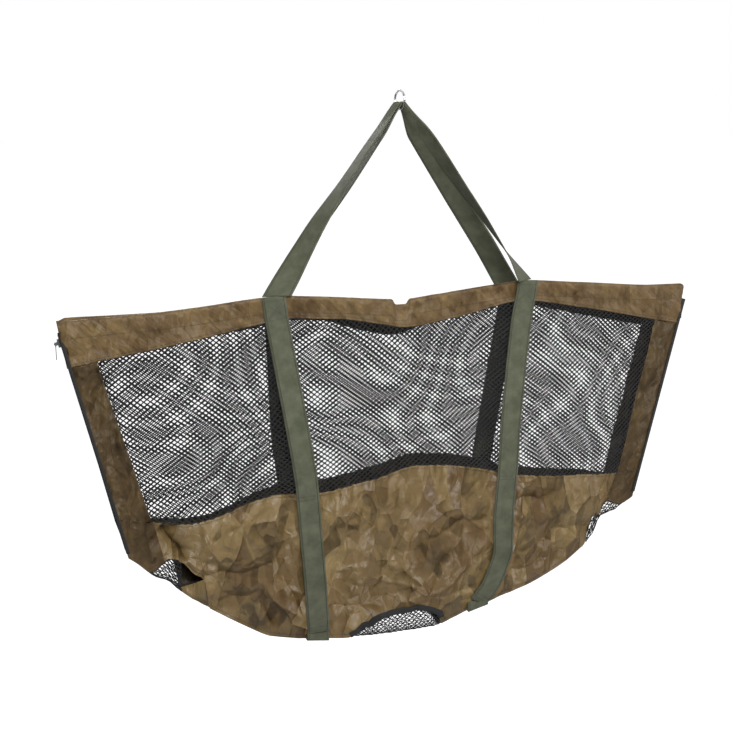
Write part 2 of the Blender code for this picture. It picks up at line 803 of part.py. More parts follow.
def make_pull(name, hand, look, carrier):
    """The pull: an eye round the pin and a flat tab that hangs straight down."""
    bm = bmesh.new()
    sides = 14
    outer_radius = EYE_RADIUS + EYE_RIM
    loops = []
    for radius, y in ((outer_radius, -1), (outer_radius, 1), (EYE_RADIUS, 1), (EYE_RADIUS, -1)):
        loop = []
        for i in range(sides):
            turn = math.tau * i / sides
            loop.append(Vector((radius * math.sin(turn), y * EYE_THICK / 2, radius * math.cos(turn))))
        loops.append(loop)
    verts = tube(loops + loops[:1], bm)
    bmesh.ops.remove_doubles(bm, verts=verts[0] + verts[-1], dist=SEAM_GAP / 100)
    bmesh.ops.recalc_face_normals(bm, faces=bm.faces)
    mesh = bpy.data.meshes.new(name)
    bm.to_mesh(mesh)
    bm.free()
    mesh.materials.append(look)
    pull = bpy.data.objects.new(name, mesh)
    pull.parent = carrier
    bpy.context.scene.collection.objects.link(pull)
    neck = bmesh.new()
    block(neck, (-EYE_THICK / 2, -EYE_THICK / 2, -2 * outer_radius),
          (EYE_THICK / 2, EYE_THICK / 2, -EYE_RADIUS - EYE_RIM / 2))
    union(pull, neck, name + "_neck")
    tab = bmesh.new()
    block(tab, (-EYE_THICK / 3, -PULL_WIDE / 2, -PULL_LONG),
          (EYE_THICK / 3, PULL_WIDE / 2, -2 * outer_radius + EYE_RIM / 2))
    union(pull, tab, name + "_tab")
    return pull


def pull_pivot(hand):
    """Axis of the pull's pin, in world coordinates."""
    middle = slider_place(hand)
    lean = math.atan2(END_HALF - CORNER_HALF, ZIP_TOP_Z - CORNER_Z)
    return middle + Vector((hand * math.cos(lean), 0, -math.sin(lean))) * pin_out()


def build():
    clear_scene()
    looks = make_materials()
    ring_body = body("ring_body", (0, 0, 0))
    wire_middle = -RING_BORE - RING_WIRE / 2
    sling = body("sling_body", (0, 0, wire_middle))
    make_ring(looks["steel"], ring_body)

    for place, side, layer in (("front", -1, 0), ("rear", 1, 1)):
        wall = body(f"{place}_wall_body", (0, side * BOTTOM_DEPTH, BOTTOM_Z))
        legs = body(f"{place}_legs_body", (0, 0, -RING_BORE / 2))
        make_saddle(f"{place}_handle_saddle", layer, looks["webbing"], sling)
        make_hem(f"{place}_hem", side, looks["cloth"], wall)
        make_window(f"{place}_window_net", side, looks["net"], wall)
        make_lower_panel(f"{place}_lower_panel", side, looks["cloth"], wall)
        for end, hand in (("left", -1), ("right", 1)):
            spot = f"{place}_{end}"
            make_leg(f"{spot}_handle_leg", hand, side, layer, looks["webbing"], legs)
            make_sewn_strap(f"{spot}_sewn_strap", hand, side, looks["webbing"], wall)
            make_rod(f"{spot}_rod", hand, side, looks["rod"], wall)
            make_side_band(f"{spot}_side_band", hand, side, looks["cloth"], wall)
            make_tape(f"{spot}_zip_tape", hand, side, looks["tape"], sling)

    make_middle_drain("middle_drain_net", looks["net"], sling)
    for end, hand in (("left", -1), ("right", 1)):
        make_bottom_strip(f"{end}_bottom_strip", hand, looks["cloth"], sling)
        make_under_strap(f"{end}_under_strap", hand, looks["webbing"], sling)
        make_corner_drain(f"{end}_corner_drain_net", hand, looks["net"], sling)
        make_coil(f"{end}_zip_coil", hand, looks["coil"], sling)
        slider_body = body(f"{end}_slider_body", slider_place(hand))
        make_slider(f"{end}_zip_slider", hand, looks["slider"], slider_body)
        pull_body = body(f"{end}_pull_body", pull_pivot(hand))
        make_pull(f"{end}_zip_pull", hand, looks["slider"], pull_body)


build()
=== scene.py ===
"""The looks of a weigh sling: a fabric cradle with two-layer mesh windows, webbing handles and zipped ends.

Metres, +Z up, X along the sling, the front wall at -Y. The origin is at the top of the ring's eye.
"""

import math

import bpy
import numpy as np
from mathutils import Matrix, Vector


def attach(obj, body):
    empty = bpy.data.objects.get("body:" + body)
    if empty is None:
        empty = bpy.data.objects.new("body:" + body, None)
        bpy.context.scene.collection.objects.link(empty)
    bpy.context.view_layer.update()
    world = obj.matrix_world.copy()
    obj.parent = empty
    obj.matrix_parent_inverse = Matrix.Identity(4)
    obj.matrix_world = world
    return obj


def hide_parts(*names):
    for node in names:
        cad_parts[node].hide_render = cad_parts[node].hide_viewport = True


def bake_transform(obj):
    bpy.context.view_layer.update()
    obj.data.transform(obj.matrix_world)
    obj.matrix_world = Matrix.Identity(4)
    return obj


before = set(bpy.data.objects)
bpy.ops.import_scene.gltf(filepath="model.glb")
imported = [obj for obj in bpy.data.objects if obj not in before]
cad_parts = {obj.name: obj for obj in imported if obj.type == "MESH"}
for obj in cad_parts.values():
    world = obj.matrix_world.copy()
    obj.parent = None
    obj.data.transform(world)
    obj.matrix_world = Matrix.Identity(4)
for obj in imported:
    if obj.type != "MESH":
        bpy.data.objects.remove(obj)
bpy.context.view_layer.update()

# Sizes shared with the solid part
RING_BORE = 0.025
RING_WIRE = 0.0035
RING_TURN = math.radians(12)
WEB_WIDTH = 0.038
WEB_THICK = 0.0016
ROD_RADIUS = 0.003
SLEEVE = 0.0052
HEM_Z = -0.3085
CORNER_Z = -0.735
BOTTOM_Z = -0.927
END_HALF = 0.541
ZIP_TOP_Z = -0.357
CORNER_HALF = 0.455
STRAP_HALF_TOP = 0.218
ZIP_DEPTH = 0.015
HEM_DEPTH = 0.026
BELLY_DEPTH = 0.046
BOTTOM_DEPTH = 0.025
SIDE_ROUND = 0.30
FOOT_ROUND = 0.16
BELLY_DROP = 0.34
ZIP_FOOT = 0.022
LOWER_CURVE_SHARE = 2.3

# Looks
FABRIC = 0.0005  # thickness of one layer of the coated nylon
NET_WIDE = 0.005  # half a mesh, along X
NET_TALL = 0.004  # half a mesh, along Z
NET_CORD = 0.0020
DRAIN_CORD = 0.0016
NET_COVER = 0.6  # share of the netting's outline that its cords cover
REAR_LAG = 0.028  # the rear panel's top edge has the front one's form, this far to the right
REAR_PANEL_LOW = 0.010  # and hangs this much lower
SEAM_FOOT = -0.66  # height where the walls' zones meet the panels
LANDING_INSET = 0.005  # the legs land this far inside the sewn straps
SADDLE_WIDTH = 0.034  # webbing cupped in the ring
TAPE_LAP = 0.0045  # how far the zip tape laps over the side band
BAND_FOOT_HALF = 0.418  # inner edge of the side band's cloth where it meets the panel
BAND_FOOT_SLOPE = 0.22  # and how far it goes out for each metre upward
TRIM = 0.009  # width of the black binding over the middle drain
STRAP_STOP = 0.012  # the sewn straps end this far above the bottom edge
UNDER_GAP = 0.0042  # the webbing under the bottom lies this far below its edge
HEM_APART = 0.0007  # half the gap between the hem's two layers
SLEEVE_OUT = 0.8 * SLEEVE  # how far the hem bulges over its rod
SEW_STEP = 0.003  # distance between the points of a row of stitches
TAPE_THICK = 0.0008
TAPE_FLAT = (0.0211, 0.366)  # width and length of a zip tape laid flat
COIL_PITCH = 0.0012
FACET_CELLS = 64  # the facets' lattice repeats after this many cells
FACET_BEND = 0.45  # how far its lines bend, in cells
FLOOR_Z = -1.9
SKY = 0.24  # level of the plain light from all round

# Where pieces end at the left and the right, as X
HEM_TOP_ENDS = (-0.543, 0.535)
HEM_FOOT_ENDS = (-0.5325, 0.5315)
PANEL_TOP_ENDS = (-0.4742, 0.4702)
PANEL_FOOT_ENDS = (-0.4582, 0.4582)
BAND_OUTER = {-1: (0.5296, 0.4736), 1: (0.5296, 0.4700)}  # half widths at the top and the foot
STRIP_ENDS = {-1: (-0.094, -0.378), 1: (0.0735, 0.364)}
MIDDLE_DRAIN = (-0.094, 0.0735)
CORNER_NET_END = -0.377

# Parts of names, by side (-1 is the front) and by hand (-1 is the left)
PLACE = {-1: "front", 1: "rear"}
HAND = {-1: "left", 1: "right"}


# Curves and noise


def mix(a, b, t):
    return a + (b - a) * t


def clamp(t):
    return np.clip(t, 0.0, 1.0)


def smooth(t):
    t = clamp(t)
    return t * t * (3 - 2 * t)


def ease(t):
    t = clamp(t)
    return t * (2 - t)


def join(*parts):
    """Coordinates side by side, in a new last axis."""
    return np.stack(np.broadcast_arrays(*parts), axis=-1)


def run_along(points):
    """Distance along a line of points from the first to each."""
    return np.concatenate([[0], np.cumsum(np.linalg.norm(np.diff(points, axis=0), axis=1))])


class Line:
    """A smooth curve through points in millimetres, as height over place; parts=1 takes them as given."""

    def __init__(self, points, soft, parts=1000):
        xs, zs = np.array(points, float).T / parts
        soft = soft / parts
        self.x = np.arange(xs[0] - 0.05, xs[-1] + 0.05, 0.001)
        z = np.interp(self.x, xs, zs)
        low_slope = (zs[1] - zs[0]) / (xs[1] - xs[0])
        high_slope = (zs[-1] - zs[-2]) / (xs[-1] - xs[-2])
        z = np.where(self.x < xs[0], zs[0] + (self.x - xs[0]) * low_slope, z)
        z = np.where(self.x > xs[-1], zs[-1] + (self.x - xs[-1]) * high_slope, z)
        reach = int(3 * soft / 0.001)
        kernel = np.exp(-0.5 * (np.arange(-reach, reach + 1) * 0.001 / soft) ** 2)
        padded = np.pad(z, reach, mode="reflect", reflect_type="odd")
        self.z = np.convolve(padded, kernel / kernel.sum(), mode="valid")

    def __call__(self, x):
        return np.interp(x, self.x, self.z)


class Noise:
    """Soft random hills of about one size, with a spread of about one."""

    def __init__(self, seed, size, count=14):
        made = np.random.default_rng(seed)
        angle = made.uniform(0, math.tau, count)
        length = size * made.uniform(0.7, 1.5, count)
        self.kx = math.tau * np.cos(angle) / length
        self.kz = math.tau * np.sin(angle) / length
        self.phase = made.uniform(0, math.tau, count)
        self.scale = math.sqrt(2 / count)

    def __call__(self, x, z):
        total = np.zeros(np.broadcast(x, z).shape)
        for kx, kz, phase in zip(self.kx, self.kz, self.phase):
            total += np.cos(kx * x + kz * z + phase)
        return total * self.scale


class Facets:
    """Flat facets of crumpled cloth: random heights on a bent lattice, straight between its points."""

    def __init__(self, seed, size, angle):
        made = np.random.default_rng(seed)
        self.size = size
        self.turn = (math.cos(angle), math.sin(angle))
        self.heights = made.uniform(-1, 1, (FACET_CELLS, FACET_CELLS))
        self.slants = made.random((FACET_CELLS, FACET_CELLS)) < 0.5
        self.warp = [Noise(seed * 7 + k, size * 2.6) for k in (1, 2)]

    def __call__(self, x, z):
        u = (x * self.turn[0] + z * self.turn[1]) / self.size + FACET_BEND * self.warp[0](x, z)
        v = (z * self.turn[0] - x * self.turn[1]) / self.size + FACET_BEND * self.warp[1](x, z)
        i, j = np.floor(u).astype(int), np.floor(v).astype(int)
        fu, fv = u - i, v - j
        h00, h10, h01, h11 = (self.heights[(i + a) % FACET_CELLS, (j + b) % FACET_CELLS]
                              for a, b in ((0, 0), (1, 0), (0, 1), (1, 1)))
        rising = np.where(fu > fv, h00 + (h10 - h00) * fu + (h11 - h10) * fv,
                          h00 + (h01 - h00) * fv + (h11 - h01) * fu)
        falling = np.where(fu + fv < 1, h00 + (h10 - h00) * fu + (h01 - h00) * fv,
                           h11 + (h01 - h11) * (1 - fu) + (h10 - h11) * (1 - fv))
        return np.where(self.slants[i % FACET_CELLS, j % FACET_CELLS], rising, falling)


def folds(x, z, marks):
    """Height of single folds: (x, z) from, (x, z) to, half width, height."""
    total = np.zeros(np.broadcast(x, z).shape)
    for x0, z0, x1, z1, wide, high in np.array(marks) / 1000:
        length = math.hypot(x1 - x0, z1 - z0)
        along = ((x - x0) * (x1 - x0) + (z - z0) * (z1 - z0)) / length**2
        off = ((z - z0) * (x1 - x0) - (x - x0) * (z1 - z0)) / length
        off = off + 0.05 * length * np.sin(along * 5.0)
        run = smooth((along + 0.1) / 0.25) * smooth((1.1 - along) / 0.25)
        total += high * np.exp(-np.abs(off) / wide) * run
    return total


# Outline of the real bag, which hangs a little uneven; these tables are in millimetres

hem_line = Line([
    (-541, -334.5), (-509, -332.5), (-459, -330.5), (-392, -327), (-330, -322), (-270, -315.5),
    (-230, -312), (-201, -311), (-108, -318), (-24, -326), (7, -327), (99, -317), (199, -307),
    (226, -306), (361, -318), (440, -325.5), (470, -327), (500, -327.5), (541, -328.5),
], 10)
window_line = Line([
    (-541, -408), (-488, -398), (-380, -380), (-255, -357), (-195, -347), (-98, -354), (-6, -373),
    (22, -373), (100, -361), (167, -346), (202, -340), (239, -342), (364, -365), (479, -390),
    (541, -402),
], 10)
panel_line = Line([
    (-470, -655), (-420, -661), (-391, -667), (-358, -670), (-315, -660), (-276, -643), (-227, -631),
    (-146, -637), (-98, -629), (-46, -621), (7, -606), (79, -612), (125, -622), (159, -631), (201, -643),
    (289, -656), (341, -660), (401, -669), (470, -672),
], 8)
foot_shift = Line([
    (-455, 12), (-444, 14), (-431, 12), (-418, 11), (-406, 16.5), (-394, 21.5), (-388, 15.5),
    (-358, 11.3), (-316.5, 8.8), (-276, 4), (-237, -2.3), (-179, 4.6), (-129.5, 8.5), (-79, 10),
    (-2, 10.1), (68, 8), (100, 16), (123, 21.9), (156, 22.6), (190, 24), (243, 18), (310, 12.7),
    (367, 13.6), (376, 15), (383, 28.7), (391, 42), (406, 32), (427, 19.3), (437, 18.9), (455, 12),
], 4)
# Heights above the bottom edge where the panels are cut away over the netting
drain_rise = Line([
    (-110, 0), (-94, 0), (-78.7, 8), (-69.4, 17), (-54.1, 22), (-51.2, 31), (-41.5, 39.5), (-23.2, 43),
    (5.2, 42.5), (33.8, 41), (58.4, 30), (71.5, 21), (73.5, 0), (90, 0),
], 2)
corner_rise = {
    -1: Line([
        (-460, 0), (-427, 0), (-411.3, 19), (-396.4, 36), (-386.4, 48), (-373.2, 56), (-356.5, 48),
        (-343.3, 49), (-338.5, 45), (-335, 0), (-320, 0),
    ], 1.5),
    1: Line([
        (345, 0), (362, 0), (366, 45), (372, 42), (376, 36), (381.6, 22), (386, 14), (390, 6),
        (392.6, 15.5), (398.7, 22), (404, 23.5), (420, 12), (436.5, 2), (440, 0), (455, 0),
    ], 1.5),
}
# Middles of the sewn straps, as distance from the centre over height
strap_lines = {
    (-1, -1): Line([
        (-920, 150), (-880, 152), (-800, 159), (-700, 167), (-615, 172.5), (-546, 182), (-400, 204),
        (-311, 218.5), (-300, 218.5),
    ], 12),
    (-1, 1): Line([
        (-920, 128), (-890, 135.5), (-857, 164), (-790, 184), (-720, 180.5), (-638, 185.5), (-541, 191),
        (-374, 210.5), (-338, 218), (-300, 219),
    ], 12),
    (1, -1): Line([(-920, 150), (-880, 152), (-560, 190), (-330, 202), (-300, 202)], 12),
    (1, 1): Line([(-920, 150), (-880, 154), (-620, 182), (-330, 217), (-300, 219)], 12),
}
# Larger folds of the front panel: from, to, half width and height
front_folds = [
    (-405, -671, -373, -730, 9, -22), (-421, -642, -427, -736, 8, 6), (-341, -680, -310, -757, 8, 5),
    (-277, -673, -271, -743, 9, 5), (-224, -702, -189, -862, 12, -6), (-248, -794, -236, -872, 6, -6),
    (-241, -795, -178, -870, 9, 7), (-314, -759, -224, -758, 5, -3), (-365, -766, -306, -760, 5, -3),
    (-132, -842, -41, -862, 6, -5), (44, -851, -1, -787, 6, 5), (44, -851, 72, -778, 6, -4),
    (44, -851, 122, -804, 6, 5), (44, -851, 138, -856, 6, -4), (44, -851, -59, -793, 6, 4),
    (-95, -836, -84, -765, 8, 4), (-122, -652, -116, -759, 9, 4), (34, -743, 119, -717, 8, -4),
    (215, -715, 199, -803, 8, 4), (295, -725, 252, -823, 8, -5), (279, -698, 337, -800, 8, 5),
    (205, -828, 284, -816, 6, -4),
]
# How much lower the rear wall's hem and window hang
rear_drop = Line([
    (-541, 0), (-440, 6), (-300, 14), (-218, 16), (-50, 24), (100, 24), (218, 16), (380, 18), (480, 14),
    (541, 4),
], 20)
rear_foot_drop = Line([
    (-541, 0), (-440, 4), (-330, 10), (-240, 16), (-200, 16), (-170, 10), (-120, 12), (-80, 21),
    (-20, 24), (30, 20), (70, 11), (180, 11), (260, 14), (380, 18), (480, 16), (541, 4),
], 10)


def hem_top(x, side):
    dip = 0.009 * np.exp(-(((x + 0.005) / 0.013) ** 8))
    return hem_line(x) - dip - (rear_drop(x) if side > 0 else 0.0)


def hem_foot(x, side):
    return window_line(x) - (rear_foot_drop(x) if side > 0 else 0.0)


def panel_top(x, side):
    if side > 0:
        return panel_line(x - REAR_LAG) - REAR_PANEL_LOW - 0.006 * smooth((np.abs(x) - 0.12) / 0.10)
    return panel_line(x)


def lower_edge(x):
    rise = CORNER_Z - BOTTOM_Z
    return BOTTOM_Z + rise * (np.abs(x) / CORNER_HALF) ** LOWER_CURVE_SHARE + foot_shift(x)


def cut_rise(x, side=-1):
    """How far the panels are cut away over the netting of the drains."""
    x = np.asarray(x, float)
    last = -0.325 if side < 0 else CORNER_NET_END
    left = np.where((x > -0.44) & (x < last), corner_rise[-1](x), 0.0)
    right = np.where((x > 0.355) & (x < 0.445), corner_rise[1](x), 0.0)
    middle = np.where((x > -0.10) & (x < 0.08), drain_rise(x), 0.0)
    return np.maximum(0.0, left + right + middle)


def panel_foot(x, side=-1):
    return lower_edge(x) + cut_rise(x, side)


def side_edge(z):
    share = (ZIP_TOP_Z - z) / (ZIP_TOP_Z - CORNER_Z)
    return END_HALF - (END_HALF - CORNER_HALF) * np.maximum(0.0, share)


def strap_mid(z, side, hand):
    """X of the middle of a sewn strap."""
    return hand * strap_lines[side, hand](z)


def window_edge(v, hand):
    """Half width of a window at a share of its height."""
    return mix(0.4885, 0.419, v) if hand < 0 else mix(0.4785, 0.4165, v)


def shell(x, z):
    """How far the wall stands from the middle plane, before its creases."""
    side = ease((side_edge(z) - np.abs(x)) / SIDE_ROUND)
    foot = ease((z - lower_edge(x)) / FOOT_ROUND)
    full = mix(HEM_DEPTH, BELLY_DEPTH, smooth((HEM_Z - z) / BELLY_DROP))
    return mix(mix(ZIP_DEPTH, BOTTOM_DEPTH, side), mix(ZIP_DEPTH, full, side), foot)


def both(kind, seed, *sizes):
    """The same kind of relief for the front and, from a seed of its own, the rear."""
    return {-1: kind(seed, *sizes), 1: kind(seed + 10, *sizes)}


panel_big = both(Facets, 3, 0.056, 0.6)
panel_mid = both(Facets, 4, 0.026, 0.3)
panel_small = both(Facets, 5, 0.012, 0.9)
gathers = both(Noise, 8, 0.013)
hem_big = both(Facets, 6, 0.036, 0.5)
hem_slant = both(Facets, 9, 0.016, 0.9)
hem_small = both(Facets, 7, 0.008, 0.2)


def near_strap(x, z, side, reach):
    """1 under a sewn strap, falling to 0 a little beside it."""
    off = np.minimum(np.abs(x - strap_mid(z, side, -1)), np.abs(x - strap_mid(z, side, 1)))
    return 1 - smooth((off - WEB_WIDTH / 2 + 0.002) / reach)


def panel_relief(x, z, side):
    depth = panel_top(x, side) - z
    edge = smooth((side_edge(z) - np.abs(x)) / 0.04) * smooth((z - lower_edge(x)) / 0.03)
    calm = (0.2 + 0.8 * edge) * (1 - 0.95 * near_strap(x, z, side, 0.02))
    big = 0.0080 * panel_big[side](x, z) * smooth(depth / 0.06)
    mid = 0.0034 * panel_mid[side](x, z) * (0.3 + 0.7 * smooth(depth / 0.03))
    small = 0.0006 * panel_small[side](x, z)
    pucker = 0.0010 * gathers[side](x, z * 0.25) * np.exp(-depth / 0.022)
    single = 1.3 * folds(x, z, front_folds) if side < 0 else 0.0
    return (big + mid + small + pucker + single) * calm


def hem_relief(x, z, side):
    share = clamp((hem_top(x, side) - z) / 0.05)
    held = 1 - 0.9 * near_strap(x, z, side, 0.015)
    slant = 0.0012 * hem_slant[side](x * 1.3 + z * 0.6, z * 0.7) * (0.35 + 0.65 * smooth(share / 0.3))
    pinch = -0.004 * np.exp(-((x + 0.001) ** 2 + (z + 0.341) ** 2) / 0.00018)
    return (0.0024 * hem_big[side](x, z) + slant + 0.0003 * hem_small[side](x, z) + pinch) * held


def wall(x, z, side, outward=0.0):
    """Points on a wall, moved outward from its mid surface, as an array."""
    return join(x, side * (shell(x, z) + outward), z)


def seam_rise(u):
    """0 at a piece's two seams and 1 between them."""
    return smooth(u / 0.15) * smooth((1 - u) / 0.15)


def band_relief(x, z, side, seam):
    """The side band's creases; seam is 0 along its seams and 1 between them."""
    return hem_relief(x, z, side) * 0.7 + 0.0050 * panel_mid[side](x * 1.3, z * 0.45) * seam


# Materials


def new_material(name):
    made = bpy.data.materials.new(name)
    made.use_nodes = True
    return made, made.node_tree, made.node_tree.nodes["Principled BSDF"]


def feed(tree, node, inputs):
    """Sets inputs by name or number: a socket is linked, anything else is the input's value."""
    for key, value in inputs.items():
        if isinstance(value, bpy.types.NodeSocket):
            tree.links.new(value, node.inputs[key])
        else:
            node.inputs[key].default_value = value


def add(tree, kind, inputs=None, **values):
    node = tree.nodes.new(kind)
    for key, value in values.items():
        setattr(node, key, value)
    feed(tree, node, inputs or {})
    return node


def calc(tree, operation, *parts):
    return add(tree, "ShaderNodeMath", dict(enumerate(parts)), operation=operation).outputs[0]


def vector_calc(tree, operation, *parts):
    return add(tree, "ShaderNodeVectorMath", dict(enumerate(parts)), operation=operation).outputs[0]


def noise_node(tree, vector, scale, detail=2.0, rough=0.5, output="Fac"):
    inputs = {"Vector": vector, "Scale": scale, "Detail": detail, "Roughness": rough}
    return add(tree, "ShaderNodeTexNoise", inputs).outputs[output]


def ramp(tree, factor, stops):
    node = add(tree, "ShaderNodeValToRGB", {"Fac": factor})
    while len(node.color_ramp.elements) < len(stops):
        node.color_ramp.elements.new(0.5)
    for element, (place, colour) in zip(node.color_ramp.elements, stops):
        element.position = place
        element.color = (*colour, 1.0)
    return node.outputs["Color"]


def bump(tree, height, strength, distance, normal=None):
    inputs = {"Height": height, "Strength": strength, "Distance": distance}
    if normal is not None:
        inputs["Normal"] = normal
    return add(tree, "ShaderNodeBump", inputs).outputs["Normal"]


CREASE_SHARP = 14.0  # how fast a crease fades from the line between two facets
CREASE_CELLS = 13.0  # facets finer than this many a metre have weaker creases
SWELL = 0.7  # slope of the broad waves under the facets
WRINKLE_LEAN = -0.85  # turn of the long wrinkles from upright, in radians
# Facets of three sizes, each as cells per metre, slope, turn and stretch
WIDE_FACETS = ((13.0, 0.56, 0.5, 1.8), (30.0, 0.42, -0.7, 2.0), (75.0, 0.16, 1.2, 1.6))
FINE_FACETS = ((24.0, 0.20, -0.55, 2.4), (58.0, 0.17, -0.45, 3.0), (120.0, 0.08, 0.3, 2.0))


def make_nylon(name, dark, light, facets=FINE_FACETS, patchy=0.5):
    """Crinkled coated nylon with painted light and shade on its facets and wrinkles; the less patchy it is,
    the calmer, with long wrinkles along its seams.
    """
    made, tree, shader = new_material(name)
    uv = add(tree, "ShaderNodeUVMap", uv_map="metres").outputs["UV"]
    cloud = noise_node(tree, uv, 14.0, 4.0, 0.6)
    swell = noise_node(tree, uv, 18.0, 3.0, output="Color")
    broad = SWELL * patchy
    tilt = vector_calc(tree, "MULTIPLY_ADD", swell, (broad, broad, 0), (0.5 - broad / 2, 0.5 - broad / 2, 1))
    painted_facet_shades, creases = [], []
    for scale, slope, turn, stretch in facets:
        drift = noise_node(tree, uv, scale * 0.35, output="Color")
        warped = vector_calc(tree, "MULTIPLY_ADD", drift, (1.1 / scale,) * 3, uv)
        turned = {"Vector": warped, "Rotation": (0, 0, turn), "Scale": (stretch, 1, 1)}
        placed = {"Vector": add(tree, "ShaderNodeMapping", turned).outputs[0], "Scale": scale}
        cells = add(tree, "ShaderNodeTexVoronoi", placed, voronoi_dimensions="2D").outputs["Color"]
        lean = vector_calc(tree, "MULTIPLY_ADD", cells, (slope, slope, 0), (-slope / 2, -slope / 2, 0))
        tilt = vector_calc(tree, "ADD", tilt, lean)
        # Each facet's cell also shifts the colour lighter or darker: painted light and shade of the facets
        painted_facet_shades.append(add(tree, "ShaderNodeSeparateXYZ", {0: cells}).outputs[2])
        edges = add(tree, "ShaderNodeTexVoronoi", placed, voronoi_dimensions="2D",
                    feature="DISTANCE_TO_EDGE")
        ridge = calc(tree, "MULTIPLY_ADD", edges.outputs["Distance"], -CREASE_SHARP, 1.0)
        ridge.node.use_clamp = True
        creases.append(calc(tree, "MULTIPLY", ridge, min(1.0, CREASE_CELLS * patchy / scale)))
    bent = add(tree, "ShaderNodeNormalMap", {"Color": tilt}, space="TANGENT", uv_map="metres")
    crease = calc(tree, "ADD", creases[0], calc(tree, "ADD", creases[1], creases[2]))
    normal = bump(tree, crease, 0.5, 0.0012, bent.outputs["Normal"])
    # The colour's factor mixes a random cloud of tone with the facets' painted light and shade
    tone_and_painted_shade = calc(tree, "MULTIPLY", painted_facet_shades[1], 0.08 * patchy)
    tone_and_painted_shade = calc(tree, "MULTIPLY_ADD", painted_facet_shades[0], 0.30 * patchy, tone_and_painted_shade)
    tone_and_painted_shade = calc(tree, "MULTIPLY_ADD", cloud, 0.96 - 0.38 * patchy, tone_and_painted_shade)
    if patchy < 1.0:
        leaning = {"Vector": uv, "Rotation": (0, 0, WRINKLE_LEAN), "Scale": (0.26, 1, 1)}
        long_way = add(tree, "ShaderNodeMapping", leaning, vector_type="TEXTURE").outputs[0]
        wrinkle = noise_node(tree, long_way, 19.0, 3.0, 0.45)
        # The wrinkles also make the colour lighter on their crests and darker in their troughs: painted
        # light and shade
        tone_and_painted_shade = calc(tree, "MULTIPLY_ADD", wrinkle, 0.5, calc(tree, "SUBTRACT", tone_and_painted_shade, 0.25))
        normal = bump(tree, wrinkle, 0.7, 0.0070, normal)
    normal = bump(tree, noise_node(tree, uv, 260.0), 0.3, 0.0005, normal)
    weave = add(tree, "ShaderNodeTexChecker", {"Scale": 2500.0, "Vector": uv})
    feed(tree, shader, {
        "Base Color": ramp(tree, tone_and_painted_shade, [(0.25, dark), (0.70, light)]),
        "Normal": bump(tree, weave.outputs["Fac"], 0.15, 0.00005, normal),
        "Roughness": 0.46 + 0.12 * (1 - patchy),
        "Specular IOR Level": 0.45 - 0.30 * (1 - patchy),
    })
    return made


def make_webbing():
    """Flat woven webbing: fine ribs across, a herringbone lean, and a stitch line near each edge."""
    made, tree, shader = new_material("webbing_woven")
    uv = add(tree, "ShaderNodeUVMap", uv_map="metres").outputs["UV"]
    across, along, _ = add(tree, "ShaderNodeSeparateXYZ", {0: uv}).outputs
    ribs = calc(tree, "SINE", calc(tree, "MULTIPLY", along, math.tau / 0.0016))
    warp = calc(tree, "SINE", calc(tree, "MULTIPLY", across, math.tau / 0.0019))
    weave = calc(tree, "MULTIPLY_ADD", ribs, 0.6, calc(tree, "MULTIPLY", ribs, warp))
    edge = calc(tree, "SUBTRACT", WEB_WIDTH / 2 - 0.0035, calc(tree, "ABSOLUTE", across))
    near = calc(tree, "LESS_THAN", calc(tree, "ABSOLUTE", edge), 0.0006)
    dash = calc(tree, "LESS_THAN", calc(tree, "FRACT", calc(tree, "DIVIDE", along, 0.0034)), 0.72)
    cloud = noise_node(tree, uv, 40.0, 3.0, 0.6)
    tones = {
        "Factor": calc(tree, "MULTIPLY", near, dash),
        "A": ramp(tree, cloud, [(0.32, (0.058, 0.065, 0.037)), (0.68, (0.101, 0.107, 0.069))]),
        "B": (0.03, 0.032, 0.02, 1.0),
    }
    mixed = add(tree, "ShaderNodeMix", data_type="RGBA", blend_type="MIX")
    feed(tree, mixed, tones)
    feed(tree, shader, {
        "Base Color": mixed.outputs["Result"],
        "Normal": bump(tree, weave, 0.6, 0.0002),
        "Roughness": 0.7,
        "Sheen Weight": 0.06,
        "Sheen Roughness": 0.5,
        "Specular IOR Level": 0.3,
    })
    return made


def make_plain(name, colour, roughness, metallic=0.0, grain=1500.0, deep=0.0001):
    made, tree, shader = new_material(name)
    fine = noise_node(tree, add(tree, "ShaderNodeTexCoord").outputs["Object"], grain)
    feed(tree, shader, {
        "Base Color": ramp(tree, fine, [(0.25, tuple(c * 0.85 for c in colour)), (0.75, colour)]),
        "Normal": bump(tree, fine, 0.3, deep),
        "Roughness": roughness,
        "Metallic": metallic,
    })
    return made


nylon = make_nylon("nylon_crinkled", (0.094, 0.052, 0.017), (0.205, 0.142, 0.056), WIDE_FACETS, 1.0)
nylon_hem = make_nylon("nylon_hem", (0.062, 0.033, 0.011), (0.170, 0.112, 0.046))
# A darker copy of the nylon for the side bands: painted shade of the bands, which turn away from the light
nylon_band_painted_shade = make_nylon("nylon_band_painted_shade", (0.038, 0.022, 0.008), (0.098, 0.063, 0.024))
# A much darker copy of the nylon for the inside faces: painted shade of the cloth's inside
nylon_inside_painted_shade = make_nylon("nylon_inside_painted_shade", (0.020, 0.014, 0.008), (0.036, 0.025, 0.013))
webbing = make_webbing()
net_black = make_plain("net_black", (0.008, 0.008, 0.009), 0.7, grain=900.0)
tape_black = make_plain("tape_black", (0.014, 0.014, 0.015), 0.8)
coil_black = make_plain("coil_black", (0.018, 0.018, 0.019), 0.4)
steel = make_plain("steel_bright", (0.46, 0.46, 0.47), 0.10, 1.0, 60.0, 0.00002)
zip_grey = make_plain("zip_grey", (0.30, 0.30, 0.31), 0.35, 1.0, 400.0, 0.00005)
rod_glass = make_plain("rod_glass_fibre", (0.50, 0.48, 0.40), 0.45, grain=500.0)
thread = make_plain("thread_dark", (0.030, 0.030, 0.022), 0.7)


# Building blocks


